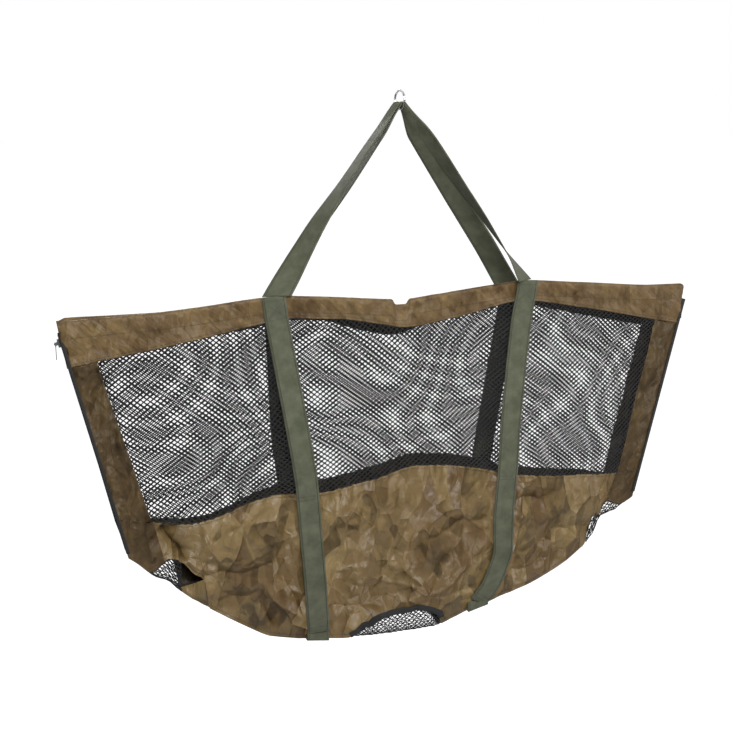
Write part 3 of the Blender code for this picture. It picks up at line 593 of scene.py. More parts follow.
def mesh_object(name, verts, faces, look, uvs=None, soft=True):
    mesh = bpy.data.meshes.new(name)
    mesh.from_pydata(verts, [], faces)
    if uvs is not None:
        layer = mesh.uv_layers.new(name="metres")
        corner = np.empty(len(mesh.loops), np.int32)
        mesh.loops.foreach_get("vertex_index", corner)
        layer.data.foreach_set("uv", np.asarray(uvs, np.float32)[corner].ravel())
    if soft:
        mesh.shade_smooth()
    mesh.materials.append(look)
    made = bpy.data.objects.new(name, mesh)
    bpy.context.scene.collection.objects.link(made)
    return made


def grid_object(name, points, uvs, look, flip=False, thick=0.0):
    """A layer on a grid of points. Cloth gives no thickness, and its inside is painted dark as shade."""
    rows, cols = points.shape[:2]
    index = np.arange(rows * cols).reshape(rows, cols)
    a, b, c, d = index[:-1, :-1], index[:-1, 1:], index[1:, 1:], index[1:, :-1]
    order = (a, d, c, b) if flip else (a, b, c, d)
    faces = np.stack([part.ravel() for part in order], axis=1).tolist()
    piece = mesh_object(name, points.reshape(-1, 3).tolist(), faces, look, uvs.reshape(-1, 2))
    layer = piece.modifiers.new("thickness", "SOLIDIFY")
    layer.thickness = thick or FABRIC
    layer.offset = 0.0
    # The inside faces get the dark inside copy of the nylon: painted shade
    if not thick:
        piece.data.materials.append(nylon_inside_painted_shade)
        layer.material_offset = 1
    return piece


def settle(piece):
    """Makes the modifiers' result the piece's own mesh."""
    graph = bpy.context.evaluated_depsgraph_get()
    mesh = bpy.data.meshes.new_from_object(piece.evaluated_get(graph))
    piece.modifiers.clear()
    piece.data = mesh
    return piece


def open_with_wall(piece, side, zone):
    """The wall's middle moves with its body; the other zones keep their place."""
    body = f"{PLACE[side]}_wall"
    if zone == "middle":
        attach(piece, body)
        return
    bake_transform(piece)


def describe(piece, slot, *nodes, side=0, zone="middle", **cloth):
    """Hides the parts a piece replaces and ties it to the body it moves with (without a side: the sling).
    The slot and the cloth are not used.
    """
    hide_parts(*nodes)
    if side:
        open_with_wall(piece, side, zone)
    else:
        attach(piece, "sling")


# Hem


def seam_x(z, side, zone, ends):
    """X from and to of a zone at a height; the zones meet under the middles of the straps."""
    marks = (ends[0], strap_mid(z, side, -1), strap_mid(z, side, 1), ends[1])
    first = ("left", "middle", "right").index(zone)
    return marks[first], marks[first + 1]


def hem_outward(value, x, z, side):
    """How far the hem's outer layer stands out, at a share of the way down from the rod."""
    fall = smooth(value * 1.3 + 0.12 * hem_big[side](x * 1.4, z))
    return mix(SLEEVE_OUT, HEM_APART, fall)


def make_hem(side, zone):
    """Cloth folded over the rod: up the inside, round the rod and down the outside."""
    cols = 190 if zone == "middle" else 170
    shares = np.linspace(0, 1, cols)
    x_top = mix(*seam_x(-0.311, side, zone, HEM_TOP_ENDS), shares)
    x_low = mix(*seam_x(-0.360, side, zone, HEM_FOOT_ENDS), shares)
    rounding = 0.004 * smooth((np.abs(x_top) - END_HALF + 0.012) / 0.012)
    top = hem_top(x_top, side) - rounding
    foot = hem_foot(x_low, side)
    inner_steps, outer_steps = 12, 26
    rows = [("inner", i / inner_steps) for i in range(inner_steps)]
    rows += [("round", math.radians(a)) for a in range(150, -91, -30)]
    rows += [("outer", i / outer_steps) for i in range(1, outer_steps + 1)]
    points = []
    for kind, value in rows:
        if kind == "inner":
            z = mix(foot, top - 2 * SLEEVE, value)
            outward, crumpled = -HEM_APART, 1.0
        elif kind == "round":
            z = top - SLEEVE + SLEEVE * math.cos(value)
            outward, crumpled = -SLEEVE_OUT * math.sin(value), 0.5
        else:
            z = mix(top - SLEEVE, foot, value)
            outward, crumpled = hem_outward(value, x_top, z, side), 0.5 + 0.5 * clamp(value * 5)
        x = mix(x_top, x_low, (top - z) / (top - foot))
        points.append(wall(x, z, side, outward + crumpled * hem_relief(x, z, side)))
    points = np.array(points)
    run = np.cumsum(np.linalg.norm(np.diff(points, axis=0, prepend=points[:1]), axis=2), axis=0)
    name = f"{PLACE[side]}_hem"
    piece = grid_object(f"{name}_{zone}", points, join(points[..., 0], run), nylon_hem, side < 0)
    # The inner layer gets the dark inside copy of the nylon: painted shade
    for face in piece.data.polygons[:inner_steps * (cols - 1)]:
        face.material_index = 1
    settle(piece)
    width = float(run_along(points[len(points) // 2])[-1])
    rod = "right" if zone == "right" else "left"
    describe(piece, "coated_cloth", name, side=side, zone=zone, flat=(width, float(run[-1].mean())),
             rests_on=[f"{PLACE[side]}_{rod}_rod"])


# Netting


def lattice(turn, reach, centre):
    """Points of a slanted square lattice, and the corners of each of its meshes."""
    i, j = np.meshgrid(np.arange(-reach, reach + 1), np.arange(-reach, reach + 1), indexing="ij")
    flat_x = (i + j) * NET_WIDE
    flat_z = (i - j) * NET_TALL
    x = flat_x * math.cos(turn) - flat_z * math.sin(turn) + centre
    z = flat_x * math.sin(turn) + flat_z * math.cos(turn)
    index = np.arange(x.size).reshape(x.shape)
    corners = (index[:-1, :-1], index[1:, :-1], index[1:, 1:], index[:-1, 1:])
    return x, z, corners


def cut_lattice(corners, keep):
    """The kept meshes as faces on renumbered points, which points they use, and their cords' area."""
    faces = np.stack([part[keep] for part in corners], axis=1)
    used = np.unique(faces)
    renumber = np.zeros(int(used.max()) + 1, int)
    renumber[used] = np.arange(len(used))
    area = float(keep.sum() * 2 * NET_WIDE * NET_TALL * NET_COVER)
    return renumber[faces].tolist(), used, area


def cord_net(name, points, faces, thick):
    piece = mesh_object(name, points.tolist(), faces, net_black, soft=False)
    cords = piece.modifiers.new("cords", "WIREFRAME")
    cords.thickness = thick
    cords.offset = 0.0
    cords.use_boundary = True
    return settle(piece)


def middle_of(values):
    return (values[:-1, :-1] + values[1:, 1:]) / 2


def make_net(side, zone):
    """Fine knotless netting in slanted square meshes, thickened into cords."""
    x, z, corners = lattice(math.radians(1.2 if side < 0 else -1.6), 130, 0.0)
    z = z - 0.50
    sway, sway_two = Noise(31 + side, 0.26), Noise(41 + side, 0.20)
    x, z = x + 0.0030 * sway(x, z), z + 0.0030 * sway_two(x, z)
    mid_x, mid_z = middle_of(x), middle_of(z)
    top, low = hem_foot(mid_x, side), panel_top(mid_x, side)
    v = clamp((top - mid_z) / (top - low))
    keep = (mid_z < top) & (mid_z > low) & (mid_x > -window_edge(v, -1)) & (mid_x < window_edge(v, 1))
    first, last = seam_x(mid_z, side, zone, (-1.0, 1.0))
    keep &= (mid_x > first) & (mid_x <= last)
    faces, used, area = cut_lattice(corners, keep)
    x, z = x.ravel()[used], z.ravel()[used]
    top, low = hem_foot(x, side), panel_top(x, side)
    z = np.clip(z, low, top)
    v = clamp((top - z) / (top - low))
    x = np.clip(x, -window_edge(v, -1), window_edge(v, 1))
    points = wall(x, z, side, 0.0006 * Noise(51 + side, 0.05)(x, z))
    piece = cord_net(f"{PLACE[side]}_net_{zone}", points, faces, NET_CORD)
    wide, tall = float(np.ptp(x)), float(np.ptp(z))
    describe(piece, "net", f"{PLACE[side]}_window_net", side=side, zone=zone, flat=(wide, tall),
             rests_on=[f"{PLACE[side]}_hem_{zone}"], area=min(area, wide * tall))


def make_drain(name, node, x_from, x_to, turn):
    """Netting over a drain: down the front wall, across the bottom and up the rear wall."""
    x, t, corners = lattice(turn, 40, (x_from + x_to) / 2)
    reach_x = middle_of(x)
    half = shell(x, lower_edge(x))
    climb = half + cut_rise(x) + 0.001
    mid_t, mid_climb = middle_of(t), middle_of(climb)
    keep = (reach_x > x_from) & (reach_x < x_to) & (np.abs(mid_t) < mid_climb)
    faces, used, area = cut_lattice(corners, keep)
    x, t, half, climb = (part.ravel()[used] for part in (x, t, half, climb))
    t = np.clip(t, -climb, climb)
    x = np.clip(x, x_from, x_to)
    rise = np.maximum(0.0, np.abs(t) - half)
    z = lower_edge(x) + rise - 0.004 * clamp(1 - (t / half) ** 2)
    y = np.where(np.abs(t) < half, t, np.sign(t) * (shell(x, z) - 0.0012))
    y = y + 0.0015 * Noise(61, 0.03)(x, t) * smooth(rise / 0.02)
    piece = cord_net(name, join(x, y, z), faces, DRAIN_CORD)
    wide, tall = float(np.ptp(x)), float(np.ptp(t))
    describe(piece, "net", node, flat=(wide, tall), area=max(0.3 * wide * tall, area))


def make_drain_trim(side):
    """Black binding along the arch over the middle drain."""
    x = np.linspace(MIDDLE_DRAIN[0] + 0.0015, MIDDLE_DRAIN[1] - 0.0015, 120)
    foot = panel_foot(x)
    slope = np.gradient(foot, x)
    length = np.sqrt(1 + slope**2)
    rows = []
    for share in np.linspace(-0.25, 1, 8):
        out_x = x - slope / length * TRIM * share
        z = foot + TRIM * share / length
        rows.append(wall(out_x, z, side, panel_relief(out_x, z, side) + 0.0012))
    points = np.array(rows)
    piece = grid_object(f"{PLACE[side]}_drain_trim", points, points[..., [0, 2]], tape_black, side > 0,
                        TAPE_THICK)
    describe(settle(piece), "zip_tape", "middle_drain_net", side=side)


# Side bands


def make_band(side, hand):
    rows, cols = 150, 40
    v = np.linspace(0, 1, rows)[:, None]
    u = np.linspace(0, 1, cols)[None, :]
    inner = window_edge(v, hand) + 0.0004
    high_outer, low_outer = BAND_OUTER[hand]
    outer = mix(high_outer, low_outer, v)
    x = hand * mix(inner, outer, u)
    high = hem_foot(hand * mix(window_edge(0.0, hand), high_outer, u), side)
    low = panel_top(hand * mix(window_edge(1.0, hand), low_outer, u), side)
    z = mix(high, low - 0.002, v)
    relief = band_relief(x, z, side, seam_rise(u)) + 0.0012 * panel_small[side](x, z)
    relief = relief * (1 - 0.9 * smooth((u - 0.75) / 0.20))
    zone = HAND[hand]
    piece = grid_object(f"{PLACE[side]}_band_{zone}", wall(x, z, side, relief), join(x, z), nylon_band_painted_shade,
                        side * hand < 0)
    describe(settle(piece), "coated_cloth", f"{PLACE[side]}_{zone}_side_band", side=side, zone=zone,
             flat=(float(np.mean(outer - inner)), float(np.mean(high - low))),
             rests_on=[f"{PLACE[side]}_hem_{zone}"])


# Lower panels


def make_panel(side, zone):
    cols, rows = (220, 130) if zone == "middle" else (190, 130)
    u = np.linspace(0, 1, cols)[None, :]
    v = np.linspace(0, 1, rows)[:, None]
    top_ends = seam_x(SEAM_FOOT, side, zone, PANEL_TOP_ENDS)
    low_ends = seam_x(-0.905, side, zone, PANEL_FOOT_ENDS)
    high_x = mix(*top_ends, u)
    low_x = mix(*low_ends, u)
    top = panel_top(high_x, side)
    foot = panel_foot(low_x, side) - 0.0015
    z = mix(top, foot, v)
    x = mix(high_x, low_x, v)
    # An end at a strap follows the strap's middle
    for end, hand in {"left": [(1, -1)], "middle": [(0, -1), (1, 1)], "right": [(0, 1)]}[zone]:
        weight = u**3 if end else (1 - u) ** 3
        straight = mix(top_ends[end], low_ends[end], v)
        along = mix(top[:, -end], foot[:, -end], v)
        x = x + weight * (strap_mid(along, side, hand) - straight) * (4 * v * (1 - v))
    points = wall(x, z, side, panel_relief(x, z, side))
    piece = grid_object(f"{PLACE[side]}_panel_{zone}", points, join(x, z), nylon, side < 0)
    # The side band's cloth runs down to the corner, in the darker band copy of the nylon: painted shade
    piece.data.materials.append(nylon_band_painted_shade)
    piece.data.materials.append(nylon_inside_painted_shade)
    for face in piece.data.polygons:
        x, _, z = face.center
        if abs(x) > BAND_FOOT_HALF + BAND_FOOT_SLOPE * (z - SEAM_FOOT):
            face.material_index = 2
    wide = float(abs(high_x[0, -1] - high_x[0, 0]))
    tall = float(np.max(top - foot))
    area = float(np.trapz((top - foot)[0], high_x[0]))
    describe(settle(piece), "coated_cloth", f"{PLACE[side]}_lower_panel", side=side, zone=zone,
             flat=(wide, tall), area=min(area, wide * tall),
             rests_on=["left_bottom_strip_cloth", "right_bottom_strip_cloth"])


# Bottom


def make_bottom_strip(hand):
    """The bottom between the walls; beside the left drain its border stands up as a lip."""
    x = mix(*STRIP_ENDS[hand], np.linspace(0, 1, 150))[:, None]
    share = np.linspace(-1, 1, 17)[None, :]
    low = lower_edge(x)
    rim = smooth((np.abs(share) - 0.8) / 0.2)
    lip = mix(0.004, 0.049, clamp((x + 0.380) / 0.040)) * clamp((-0.322 - x) / 0.012) * rim
    y = (shell(x, low + lip) - 0.001 * rim) * share
    z = low + lip - 0.004 * (1 - share**2) + 0.0006 * Noise(71 + hand, 0.016)(x, y) * (1 - share**4)
    points = join(x, y, z)
    run = run_along(points[:, 8])
    name = f"{HAND[hand]}_bottom_strip"
    piece = grid_object(f"{name}_cloth", points, join(run[:, None], y), nylon, hand < 0)
    describe(settle(piece), "coated_cloth", name,
             flat=(float(run[-1]), 2 * float(np.mean(np.abs(points[:, 0, 1])))))


# Webbing


def strap_object(name, left, right):
    """Webbing between two edge lines, with its real width and length in the UVs."""
    shares = np.linspace(0, 1, 9)
    points = mix(left[:, None], right[:, None], shares[None, :, None])
    run = run_along((left + right) / 2)
    uvs = join((shares - 0.5)[None, :] * WEB_WIDTH, run[:, None])
    piece = grid_object(name, points, uvs, webbing, thick=WEB_THICK)
    return settle(piece), float(run[-1])


def strap_top(side, hand):
    return float(hem_top(hand * STRAP_HALF_TOP, side))


def strap_foot(side, hand):
    return float(lower_edge(strap_mid(-0.90, side, hand))) + STRAP_STOP


def strap_face(side, hand, across, z):
    """Points on the middle of a sewn strap's webbing: across is -0.5 to 0.5 of its width, along X."""
    mid = strap_mid(z, side, hand)
    lean = np.gradient(mid, z)
    x = mid + across * WEB_WIDTH / np.sqrt(1 + lean**2)
    z = z - across * WEB_WIDTH * lean / np.sqrt(1 + lean**2)
    sleeve = mix(SLEEVE, 0.0008, smooth((strap_top(side, hand) - z - 0.008) / 0.030))
    proud = sleeve + 0.0006 + WEB_THICK / 2
    fold = 0.0003 * Noise(91 + side + hand, 0.040)(z, 0.4 * across * WEB_WIDTH)
    deep = np.maximum(shell(x, z), shell(mid, z)) + proud + fold
    return join(x, side * deep, z)


def make_sewn_strap(side, hand):
    name = f"{PLACE[side]}_{HAND[hand]}"
    z = np.linspace(strap_top(side, hand) + 0.001, strap_foot(side, hand), 150)
    edges = [strap_face(side, hand, -0.5 * side, z), strap_face(side, hand, 0.5 * side, z)]
    piece, run = strap_object(f"{name}_strap", *edges)
    describe(piece, "webbing", f"{name}_sewn_strap", side=side, flat=(WEB_WIDTH, run),
             rests_on=[f"{PLACE[side]}_panel_{HAND[hand]}"])


def make_under_strap(hand):
    """Webbing under the bottom, up to the lower ends of the two sewn straps."""
    front, rear = (strap_face(side, hand, 0.0, strap_foot(side, hand) - np.array([0.0, 0.001]))[0]
                   for side in (-1, 1))
    share = np.linspace(-1, 1, 81)
    turn = 0.72  # where the webbing leaves the bottom for the walls
    flat = clamp(np.abs(share) / turn)
    up = clamp((np.abs(share) - turn) / (1 - turn))
    mid_x, mid_y = (mix(front[k], rear[k], (share + 1) / 2) for k in (0, 1))
    reach = np.abs(mid_y / np.maximum(np.abs(share), 0.01))
    y = np.sign(share) * reach * flat * 0.985
    edges = []
    for edge in (-0.5, 0.5):
        x = mid_x + edge * WEB_WIDTH
        z = lower_edge(x) - UNDER_GAP + 0.0015 * flat**6 + (STRAP_STOP + 0.006) * up
        edges.append(join(x, y, z))
    name = f"{HAND[hand]}_under_strap"
    piece, run = strap_object(f"{name}_web", *edges)
    describe(piece, "webbing", name, flat=(WEB_WIDTH, run),
             rests_on=[f"{HAND[hand]}_bottom_strip_cloth"])


# How far each leg's webbing has turned from lying along Y, in degrees over the share of its length
leg_turns = {
    (-1, -1): Line([(0, 0), (0.3, 0), (0.45, 6), (0.6, 22), (0.75, 36), (0.88, 54), (1, 76)], 0.04, 1),
    (-1, 1): Line([
        (0, -16), (0.08, -24), (0.18, -27), (0.45, -6), (0.65, 4), (0.85, 18), (1, 46),
    ], 0.03, 1),
    (1, -1): Line([(0, 0), (0.4, 2), (0.75, 20), (1, 72)], 0.04, 1),
    (1, 1): Line([(0, 20), (0.08, 34), (0.2, 38), (0.55, 44), (0.75, 54), (0.9, 58), (1, 75)], 0.03, 1),
}
# How far each leg bows outward, in metres over the share of its length
leg_bows = {
    (-1, -1): Line([(0, 0), (0.1, 0.003), (0.25, 0.006), (0.65, 0.007), (0.85, 0.003), (1, 0)], 0.03, 1),
    (-1, 1): Line([(0, 0), (0.1, 0.001), (0.25, 0.003), (0.6, 0.004), (0.8, 0.002), (1, 0)], 0.03, 1),
    (1, -1): Line([(0, 0), (1, 0)], 0.03, 1),
    (1, 1): Line([(0, 0), (0.5, 0), (0.75, 0.002), (1, 0)], 0.03, 1),
}


def saddle_points(layer, wrap, share):
    """Points on the webbing where it bends over the ring's lower wire."""
    ring_radius = (RING_BORE + RING_WIRE) / 2
    lift = RING_WIRE / 2 + 0.0013 + WEB_THICK / 2 + layer * (WEB_THICK + 0.0009)
    around = share * (SADDLE_WIDTH / 2 / ring_radius)
    radius = ring_radius - lift * math.cos(wrap)
    local = Vector((lift * math.sin(wrap), math.sin(around) * radius, -math.cos(around) * radius))
    return Vector((0, 0, -RING_BORE / 2)) + Matrix.Rotation(RING_TURN, 3, "Z") @ local


def make_handle(side):
    """One handle: up one leg from the hem, over the ring's lower wire and down the other leg."""
    layer = 1 if side < 0 else 0
    lean = math.atan2(STRAP_HALF_TOP, -RING_BORE - HEM_Z)
    end = math.radians(90) - lean
    shares = np.linspace(-1, 1, 11)
    steps = 110
    legs = {}
    for hand in (-1, 1):
        start_row = [saddle_points(layer, hand * end, s) for s in shares]
        start = start_row[5]
        foot_z = strap_top(side, hand) + 0.0008
        foot = Vector(strap_face(side, hand, 0.0, np.array([foot_z, foot_z - 0.001]))[0])
        foot.x -= hand * LANDING_INSET
        outward = Vector((hand * math.cos(lean), 0, math.sin(lean)))
        along = (foot - start).normalized()
        legs[hand] = []
        for s in np.arange(1, steps + 1) / steps:
            s = float(s)
            turn = math.radians(float(leg_turns[side, hand](s)))
            across = Vector((0, math.cos(turn), 0)) - outward * (side * math.sin(turn))
            half = float(mix(SADDLE_WIDTH / 2, WEB_WIDTH / 2, smooth(6 * s)))
            middle = start.lerp(foot, s) + outward * float(leg_bows[side, hand](s))
            landing = float(smooth((s - 0.75) / 0.25))
            row = []
            for place, share in zip(start_row, shares):
                flat = across * (half * share)
                flat = flat - along * (flat.z / along.z * landing)
                row.append(middle + (place - start).lerp(flat, float(smooth(s / 0.14))))
            legs[hand].append(row)
    saddle = [[saddle_points(layer, float(wrap), s) for s in shares] for wrap in np.linspace(-end, end, 14)]
    rows = legs[-1][::-1] + saddle + legs[1]
    points = np.array([[tuple(p) for p in row] for row in rows])
    run = run_along(points[:, 5])
    uvs = join((shares * WEB_WIDTH / 2)[None, :], run[:, None])
    name = PLACE[side]
    piece = settle(grid_object(f"{name}_handle", points, uvs, webbing, thick=WEB_THICK))
    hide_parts(f"{name}_handle_saddle", f"{name}_left_handle_leg", f"{name}_right_handle_leg")
    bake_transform(piece)


# Stitching


# Faces of a box from its two sets of four corners
BOX = ((0, 3, 2, 1), (4, 5, 6, 7), (0, 1, 5, 4), (1, 2, 6, 5), (2, 3, 7, 6), (3, 0, 4, 7))


def stitch_object(name, lines, out, long=0.0024, step=0.0034, wide=0.0005):
    """Short thread bars along lines of points."""
    verts, faces = [], []
    for line in lines:
        line = np.asarray(line, float)
        run = run_along(line)
        starts = np.arange(0.0, run[-1] - long, step)
        first, last = (join(*(np.interp(starts + more, run, line[:, k]) for k in range(3)))
                       for more in (0.0, long))
        for a, b in zip(first, last):
            along = (b - a) / (np.linalg.norm(b - a) + 1e-9)
            over = np.array([0.0, out, 0.0]) * wide * 0.6
            beside = np.cross(along, (0.0, out, 0.0)) * wide * 0.5
            base = len(verts)
            for point in (a, b):
                verts += [tuple(point + beside), tuple(point + beside + over),
                          tuple(point - beside + over), tuple(point - beside)]
            faces += [tuple(base + q for q in quad) for quad in BOX]
    return mesh_object(name, verts, faces, thread, soft=False)


def make_strap_stitches(side, hand):
    """A box with a cross at the hem, and a row across where the strap meets the panel."""
    top = strap_top(side, hand) - 0.006
    low = top - 0.030
    panel = float(panel_top(strap_mid(-0.64, side, hand), side))
    foot = strap_foot(side, hand) + 0.006
    box = [(-0.4, top), (0.4, top), (0.4, low), (-0.4, low)]
    routes = [*zip(box, box[1:] + box[:1]), (box[0], box[2]), (box[1], box[3])]
    for height in (panel - 0.004, panel - 0.010, foot, foot + 0.006):
        routes.append(((-0.42, height), (0.42, height)))
    for edge in (-0.43, 0.43):
        routes.append(((edge, low - 0.004), (edge, foot)))
    lines = []
    for (a0, z0), (a1, z1) in routes:
        count = 2 + int(abs(z1 - z0) / 0.004) + int(abs(a1 - a0) * 12)
        line = []
        for s in np.linspace(0, 1, count):
            z = mix(z0, z1, s)
            face = strap_face(side, hand, mix(a0, a1, s), np.array([z, z - 0.001]))[0]
            line.append(face + np.array([0, side * (WEB_THICK / 2), 0]))
        lines.append(line)
    name = f"{PLACE[side]}_{HAND[hand]}"
    piece = stitch_object(f"{name}_strap_stitches", lines, side)
    describe(piece, "webbing", f"{name}_sewn_strap", side=side)


def make_cloth_stitches(side, zone):
    """Rows of stitches along the hem's foot, the panel's top and bottom, and the side band."""
    x = np.arange(*seam_x(-0.34, side, zone, (-0.525, 0.522)), SEW_STEP)
    lines = []
    for z in (hem_foot(x, side) + 0.0045, hem_top(x, side) - 0.026):
        sleeve_foot = hem_top(x, side) - SLEEVE
        value = (sleeve_foot - z) / (sleeve_foot - hem_foot(x, side))
        lines.append(wall(x, z, side, hem_outward(value, x, z, side) + hem_relief(x, z, side) + 0.0004))
    x = np.arange(*seam_x(SEAM_FOOT, side, zone, (-0.462, 0.460)), SEW_STEP)
    z = panel_top(x, side) - 0.0045
    lines.append(wall(x, z, side, panel_relief(x, z, side) + 0.0004))
    x = np.arange(*seam_x(-0.89, side, zone, (-0.44, 0.44)), SEW_STEP)
    z = panel_foot(x, side) + 0.0055
    flat = np.abs(np.gradient(panel_foot(x, side), x)) < 1.2
    lines.append(wall(x, z, side, panel_relief(x, z, side) + 0.0004)[flat])
    if zone != "middle":
        hand = -1 if zone == "left" else 1
        v = np.linspace(0.02, 0.98, 90)
        x = hand * (window_edge(v, hand) + 0.005)
        z = mix(hem_foot(x, side), panel_top(x, side), v)
        seam = seam_rise(0.0046 / (mix(0.532, 0.470, v) - window_edge(v, hand)))
        relief = band_relief(x, z, side, seam) + 0.0012 * panel_small[side](x, z) * (0.3 + 0.7 * seam)
        lines.append(wall(x, z, side, relief + 0.0004))
    piece = stitch_object(f"{PLACE[side]}_stitches_{zone}", lines, side)
    describe(piece, "coated_cloth", f"{PLACE[side]}_hem", side=side, zone=zone)


# Rods and zips


def make_rod(side, hand):
    x = hand * np.linspace(0.016, END_HALF - 0.013, 80)
    line = wall(x, hem_top(x, side) - SLEEVE, side)
    ring, last = 10, len(line) - 1
    verts, faces = [], []
    for k, point in enumerate(line):
        along = Vector(line[min(k + 1, last)] - line[max(k - 1, 0)]).normalized()
        one = along.cross(Vector((0, 0, 1))).normalized()
        two = one.cross(along)
        for a in range(ring):
            turn = math.tau * a / ring
            verts.append(tuple(Vector(point) + (one * math.cos(turn) + two * math.sin(turn)) * ROD_RADIUS))
            b = (a + 1) % ring
            if k < last:
                faces.append((k * ring + a, k * ring + b, (k + 1) * ring + b, (k + 1) * ring + a))
    faces += [tuple(range(ring)), tuple(reversed(range(last * ring, (last + 1) * ring)))]
    name = f"{PLACE[side]}_{HAND[hand]}_rod"
    piece = mesh_object(f"{name}_round", verts, faces, rod_glass)
    describe(piece, "rod", name, side=side, zone=HAND[hand])


def zip_at(z, hand, out, y):
    return (hand * (float(side_edge(z)) + out), y, z)


def make_tape(side, hand):
    rows = []
    for z in np.linspace(ZIP_TOP_Z, CORNER_Z + ZIP_FOOT, 60):
        row = [zip_at(z, hand, 0.0010 - 0.0002 * s, side * mix(0.0002, ZIP_DEPTH + 0.0018, s))
               for s in np.linspace(0, 1, 7)]
        for lap in (0.0015, 0.0030, TAPE_LAP):
            x = side_edge(z) - lap
            row.append((hand * float(x), side * float(shell(x, z) + 0.0019), z))
        rows.append(row)
    points = np.array(rows)
    name = f"{PLACE[side]}_{HAND[hand]}"
    piece = grid_object(f"{name}_tape", points, points[..., 1:3].copy(), tape_black, thick=TAPE_THICK)
    describe(settle(piece), "zip_tape", f"{name}_zip_tape", flat=TAPE_FLAT)


def make_coil(hand):
    """The closed zip coil: two rows of round teeth that mesh along the zip's line."""
    top = Vector(zip_at(ZIP_TOP_Z, hand, 0.0012, 0.0))
    foot = Vector(zip_at(CORNER_Z + ZIP_FOOT, hand, 0.0012, 0.0))
    along = (foot - top).normalized()
    out = Vector((hand, 0, 0))
    out = (out - along * out.dot(along)).normalized()
    # A tooth's corners along the zip, across it and outward, in parts of its size
    tooth = [(a * da, c * dc, do) for da, dc, do in ((0.4, 1.2, -0.7), (0.25, 0.9, 0.8))
             for a, c in ((-1, -1), (1, -1), (1, 1), (-1, 1))]
    verts, faces = [], []
    for k in range(int((top - foot).length / COIL_PITCH)):
        for side in (-1, 1):
            centre = top + along * (COIL_PITCH * (k + 0.5 + 0.25 * side)) + Vector((0, 0.0008 * side, 0))
            faces += [tuple(len(verts) + q for q in quad) for quad in BOX]
            for da, dc, do in tooth:
                place = centre + along * (da * COIL_PITCH * 0.55) + Vector((0, dc * 0.0010, 0))
                verts.append(tuple(place + out * (do * 0.0009)))
    name = f"{HAND[hand]}_zip"
    piece = mesh_object(f"{name}_teeth", verts, faces, coil_black, soft=False)
    describe(piece, "zip_coil", f"{name}_coil")


# Everything

for side in (-1, 1):
    for zone in ("left", "middle", "right"):
        make_hem(side, zone)
        make_net(side, zone)
        make_panel(side, zone)
        make_cloth_stitches(side, zone)
    for hand in (-1, 1):
        make_band(side, hand)
        make_sewn_strap(side, hand)
        make_strap_stitches(side, hand)
        make_rod(side, hand)
        make_tape(side, hand)
    make_handle(side)
    make_drain_trim(side)

make_drain("middle_drain_mesh", "middle_drain_net", *MIDDLE_DRAIN, 0.1)
make_drain("left_corner_mesh", "left_corner_drain_net", -0.452, CORNER_NET_END, 0.3)
make_drain("right_corner_mesh", "right_corner_drain_net", 0.364, 0.452, -0.3)
for hand in (-1, 1):
    make_bottom_strip(hand)
    make_under_strap(hand)
    make_coil(hand)

for node, look in (("hook_ring", steel), ("left_zip_slider", zip_grey), ("right_zip_slider", zip_grey),
                   ("left_zip_pull", zip_grey), ("right_zip_pull", zip_grey)):
    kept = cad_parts[node]
    kept.data.materials.clear()
    kept.data.materials.append(look)
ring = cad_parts["hook_ring"]
ring_round = ring.modifiers.new("round", "SUBSURF")
ring_round.levels = 2
ring_round.render_levels = 2

# Camera, light and backdrop; the camera stands where the photo's did, front left and a little above

back = Vector((-0.30234, -0.92502, 0.23005)).normalized()
right = Vector((0.95052, -0.31068, 0.0)).normalized()
up = back.cross(right)
camera = bpy.data.cameras.new("camera")
camera.sensor_width = 36
camera.lens = 51.64
view = bpy.data.objects.new("camera", camera)
bpy.context.scene.collection.objects.link(view)
view.matrix_world = Matrix((
    (right.x, up.x, back.x, 0), (right.y, up.y, back.y, 0), (right.z, up.z, back.z, 0), (0, 0, 0, 1),
))
view.location = Vector((-0.056, 0, -0.4405)) + back * 1.74
bpy.context.scene.camera = view


def lamp(name, place, aim, size, power):
    light = bpy.data.lights.new(name, "AREA")
    light.shape = "RECTANGLE"
    light.size, light.size_y = size
    light.energy = power
    made = bpy.data.objects.new(name, light)
    made.location = place
    made.rotation_mode = "QUATERNION"
    made.rotation_quaternion = (Vector(aim) - Vector(place)).to_track_quat("-Z", "Y")
    bpy.context.scene.collection.objects.link(made)
    return made


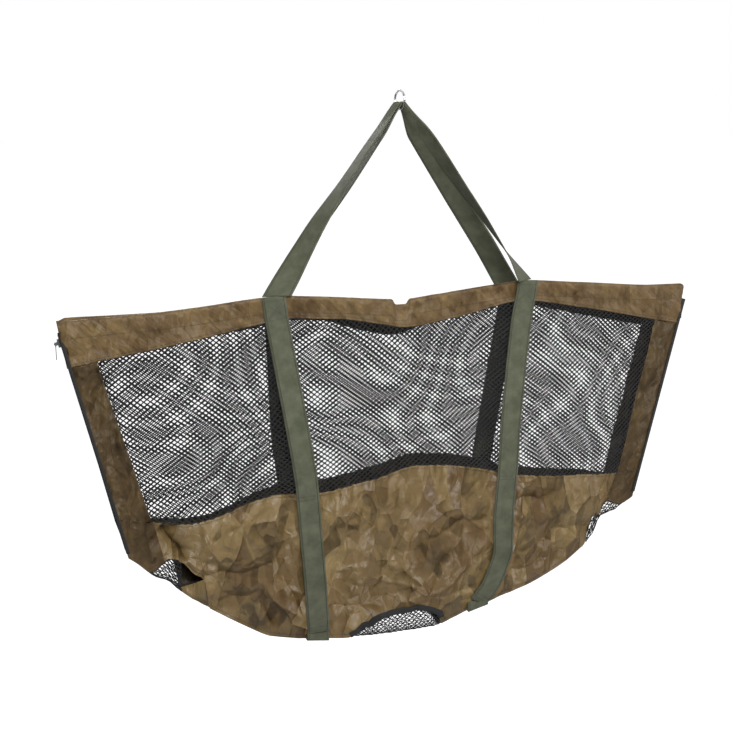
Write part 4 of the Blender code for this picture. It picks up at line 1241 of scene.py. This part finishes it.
lamp("key", (-0.35, -1.75, 0.7), (0, 0, -0.6), (0.9, 0.9), 48)
lamp("fill", (1.7, -1.2, 0.0), (0, 0, -0.6), (0.7, 1.0), 16)
lamp("back", (0.2, 1.7, 0.7), (0, 0, -0.5), (1.6, 0.8), 20)

world = bpy.data.worlds.new("studio")
bpy.context.scene.world = world
world.use_nodes = True
tree = world.node_tree
tree.nodes.clear()
path = add(tree, "ShaderNodeLightPath")
way = add(tree, "ShaderNodeTexCoord").outputs["Generated"]
split = add(tree, "ShaderNodeSeparateXYZ", {0: way})
# The white backdrop stands behind the object; reflections of the room before it are dim
behind = calc(tree, "MULTIPLY_ADD", split.outputs[1], 1.6, 0.55)
behind.node.use_clamp = True
mirrored = calc(tree, "MULTIPLY_ADD", behind, 0.80, 0.20)
soft = calc(tree, "MULTIPLY_ADD", path.outputs["Is Glossy Ray"], calc(tree, "SUBTRACT", mirrored, SKY), SKY)
seen = calc(tree, "MAXIMUM", path.outputs["Is Camera Ray"], path.outputs["Is Transmission Ray"])
strength = calc(tree, "MAXIMUM", seen, soft)
sky = add(tree, "ShaderNodeBackground", {"Color": (1, 1, 1, 1), "Strength": strength})
add(tree, "ShaderNodeOutputWorld", {"Surface": sky.outputs[0]})


def make_floor():
    """Pale floor: it carries the shadow, and the camera sees the rest of it as white."""
    look, tree, shader = new_material("floor_pale")
    fine = noise_node(tree, add(tree, "ShaderNodeTexCoord").outputs["Object"], 3.0)
    tone = ramp(tree, fine, [(0.3, (0.78, 0.78, 0.78)), (0.7, (0.80, 0.80, 0.80))])
    seen = add(tree, "ShaderNodeLightPath").outputs["Is Camera Ray"]
    lit = calc(tree, "MULTIPLY", seen, 1.10)
    feed(tree, shader, {"Base Color": tone, "Roughness": 0.9, "Emission Color": tone})
    feed(tree, shader, {"Emission Strength": lit})
    half = 80.0
    corners = [(x * half, y * half, FLOOR_Z) for x, y in ((-1, -1), (1, -1), (1, 1), (-1, 1))]
    floor = mesh_object("floor", corners, [(0, 1, 2, 3)], look, soft=False)


make_floor()

bpy.context.scene.view_settings.view_transform = "Standard"
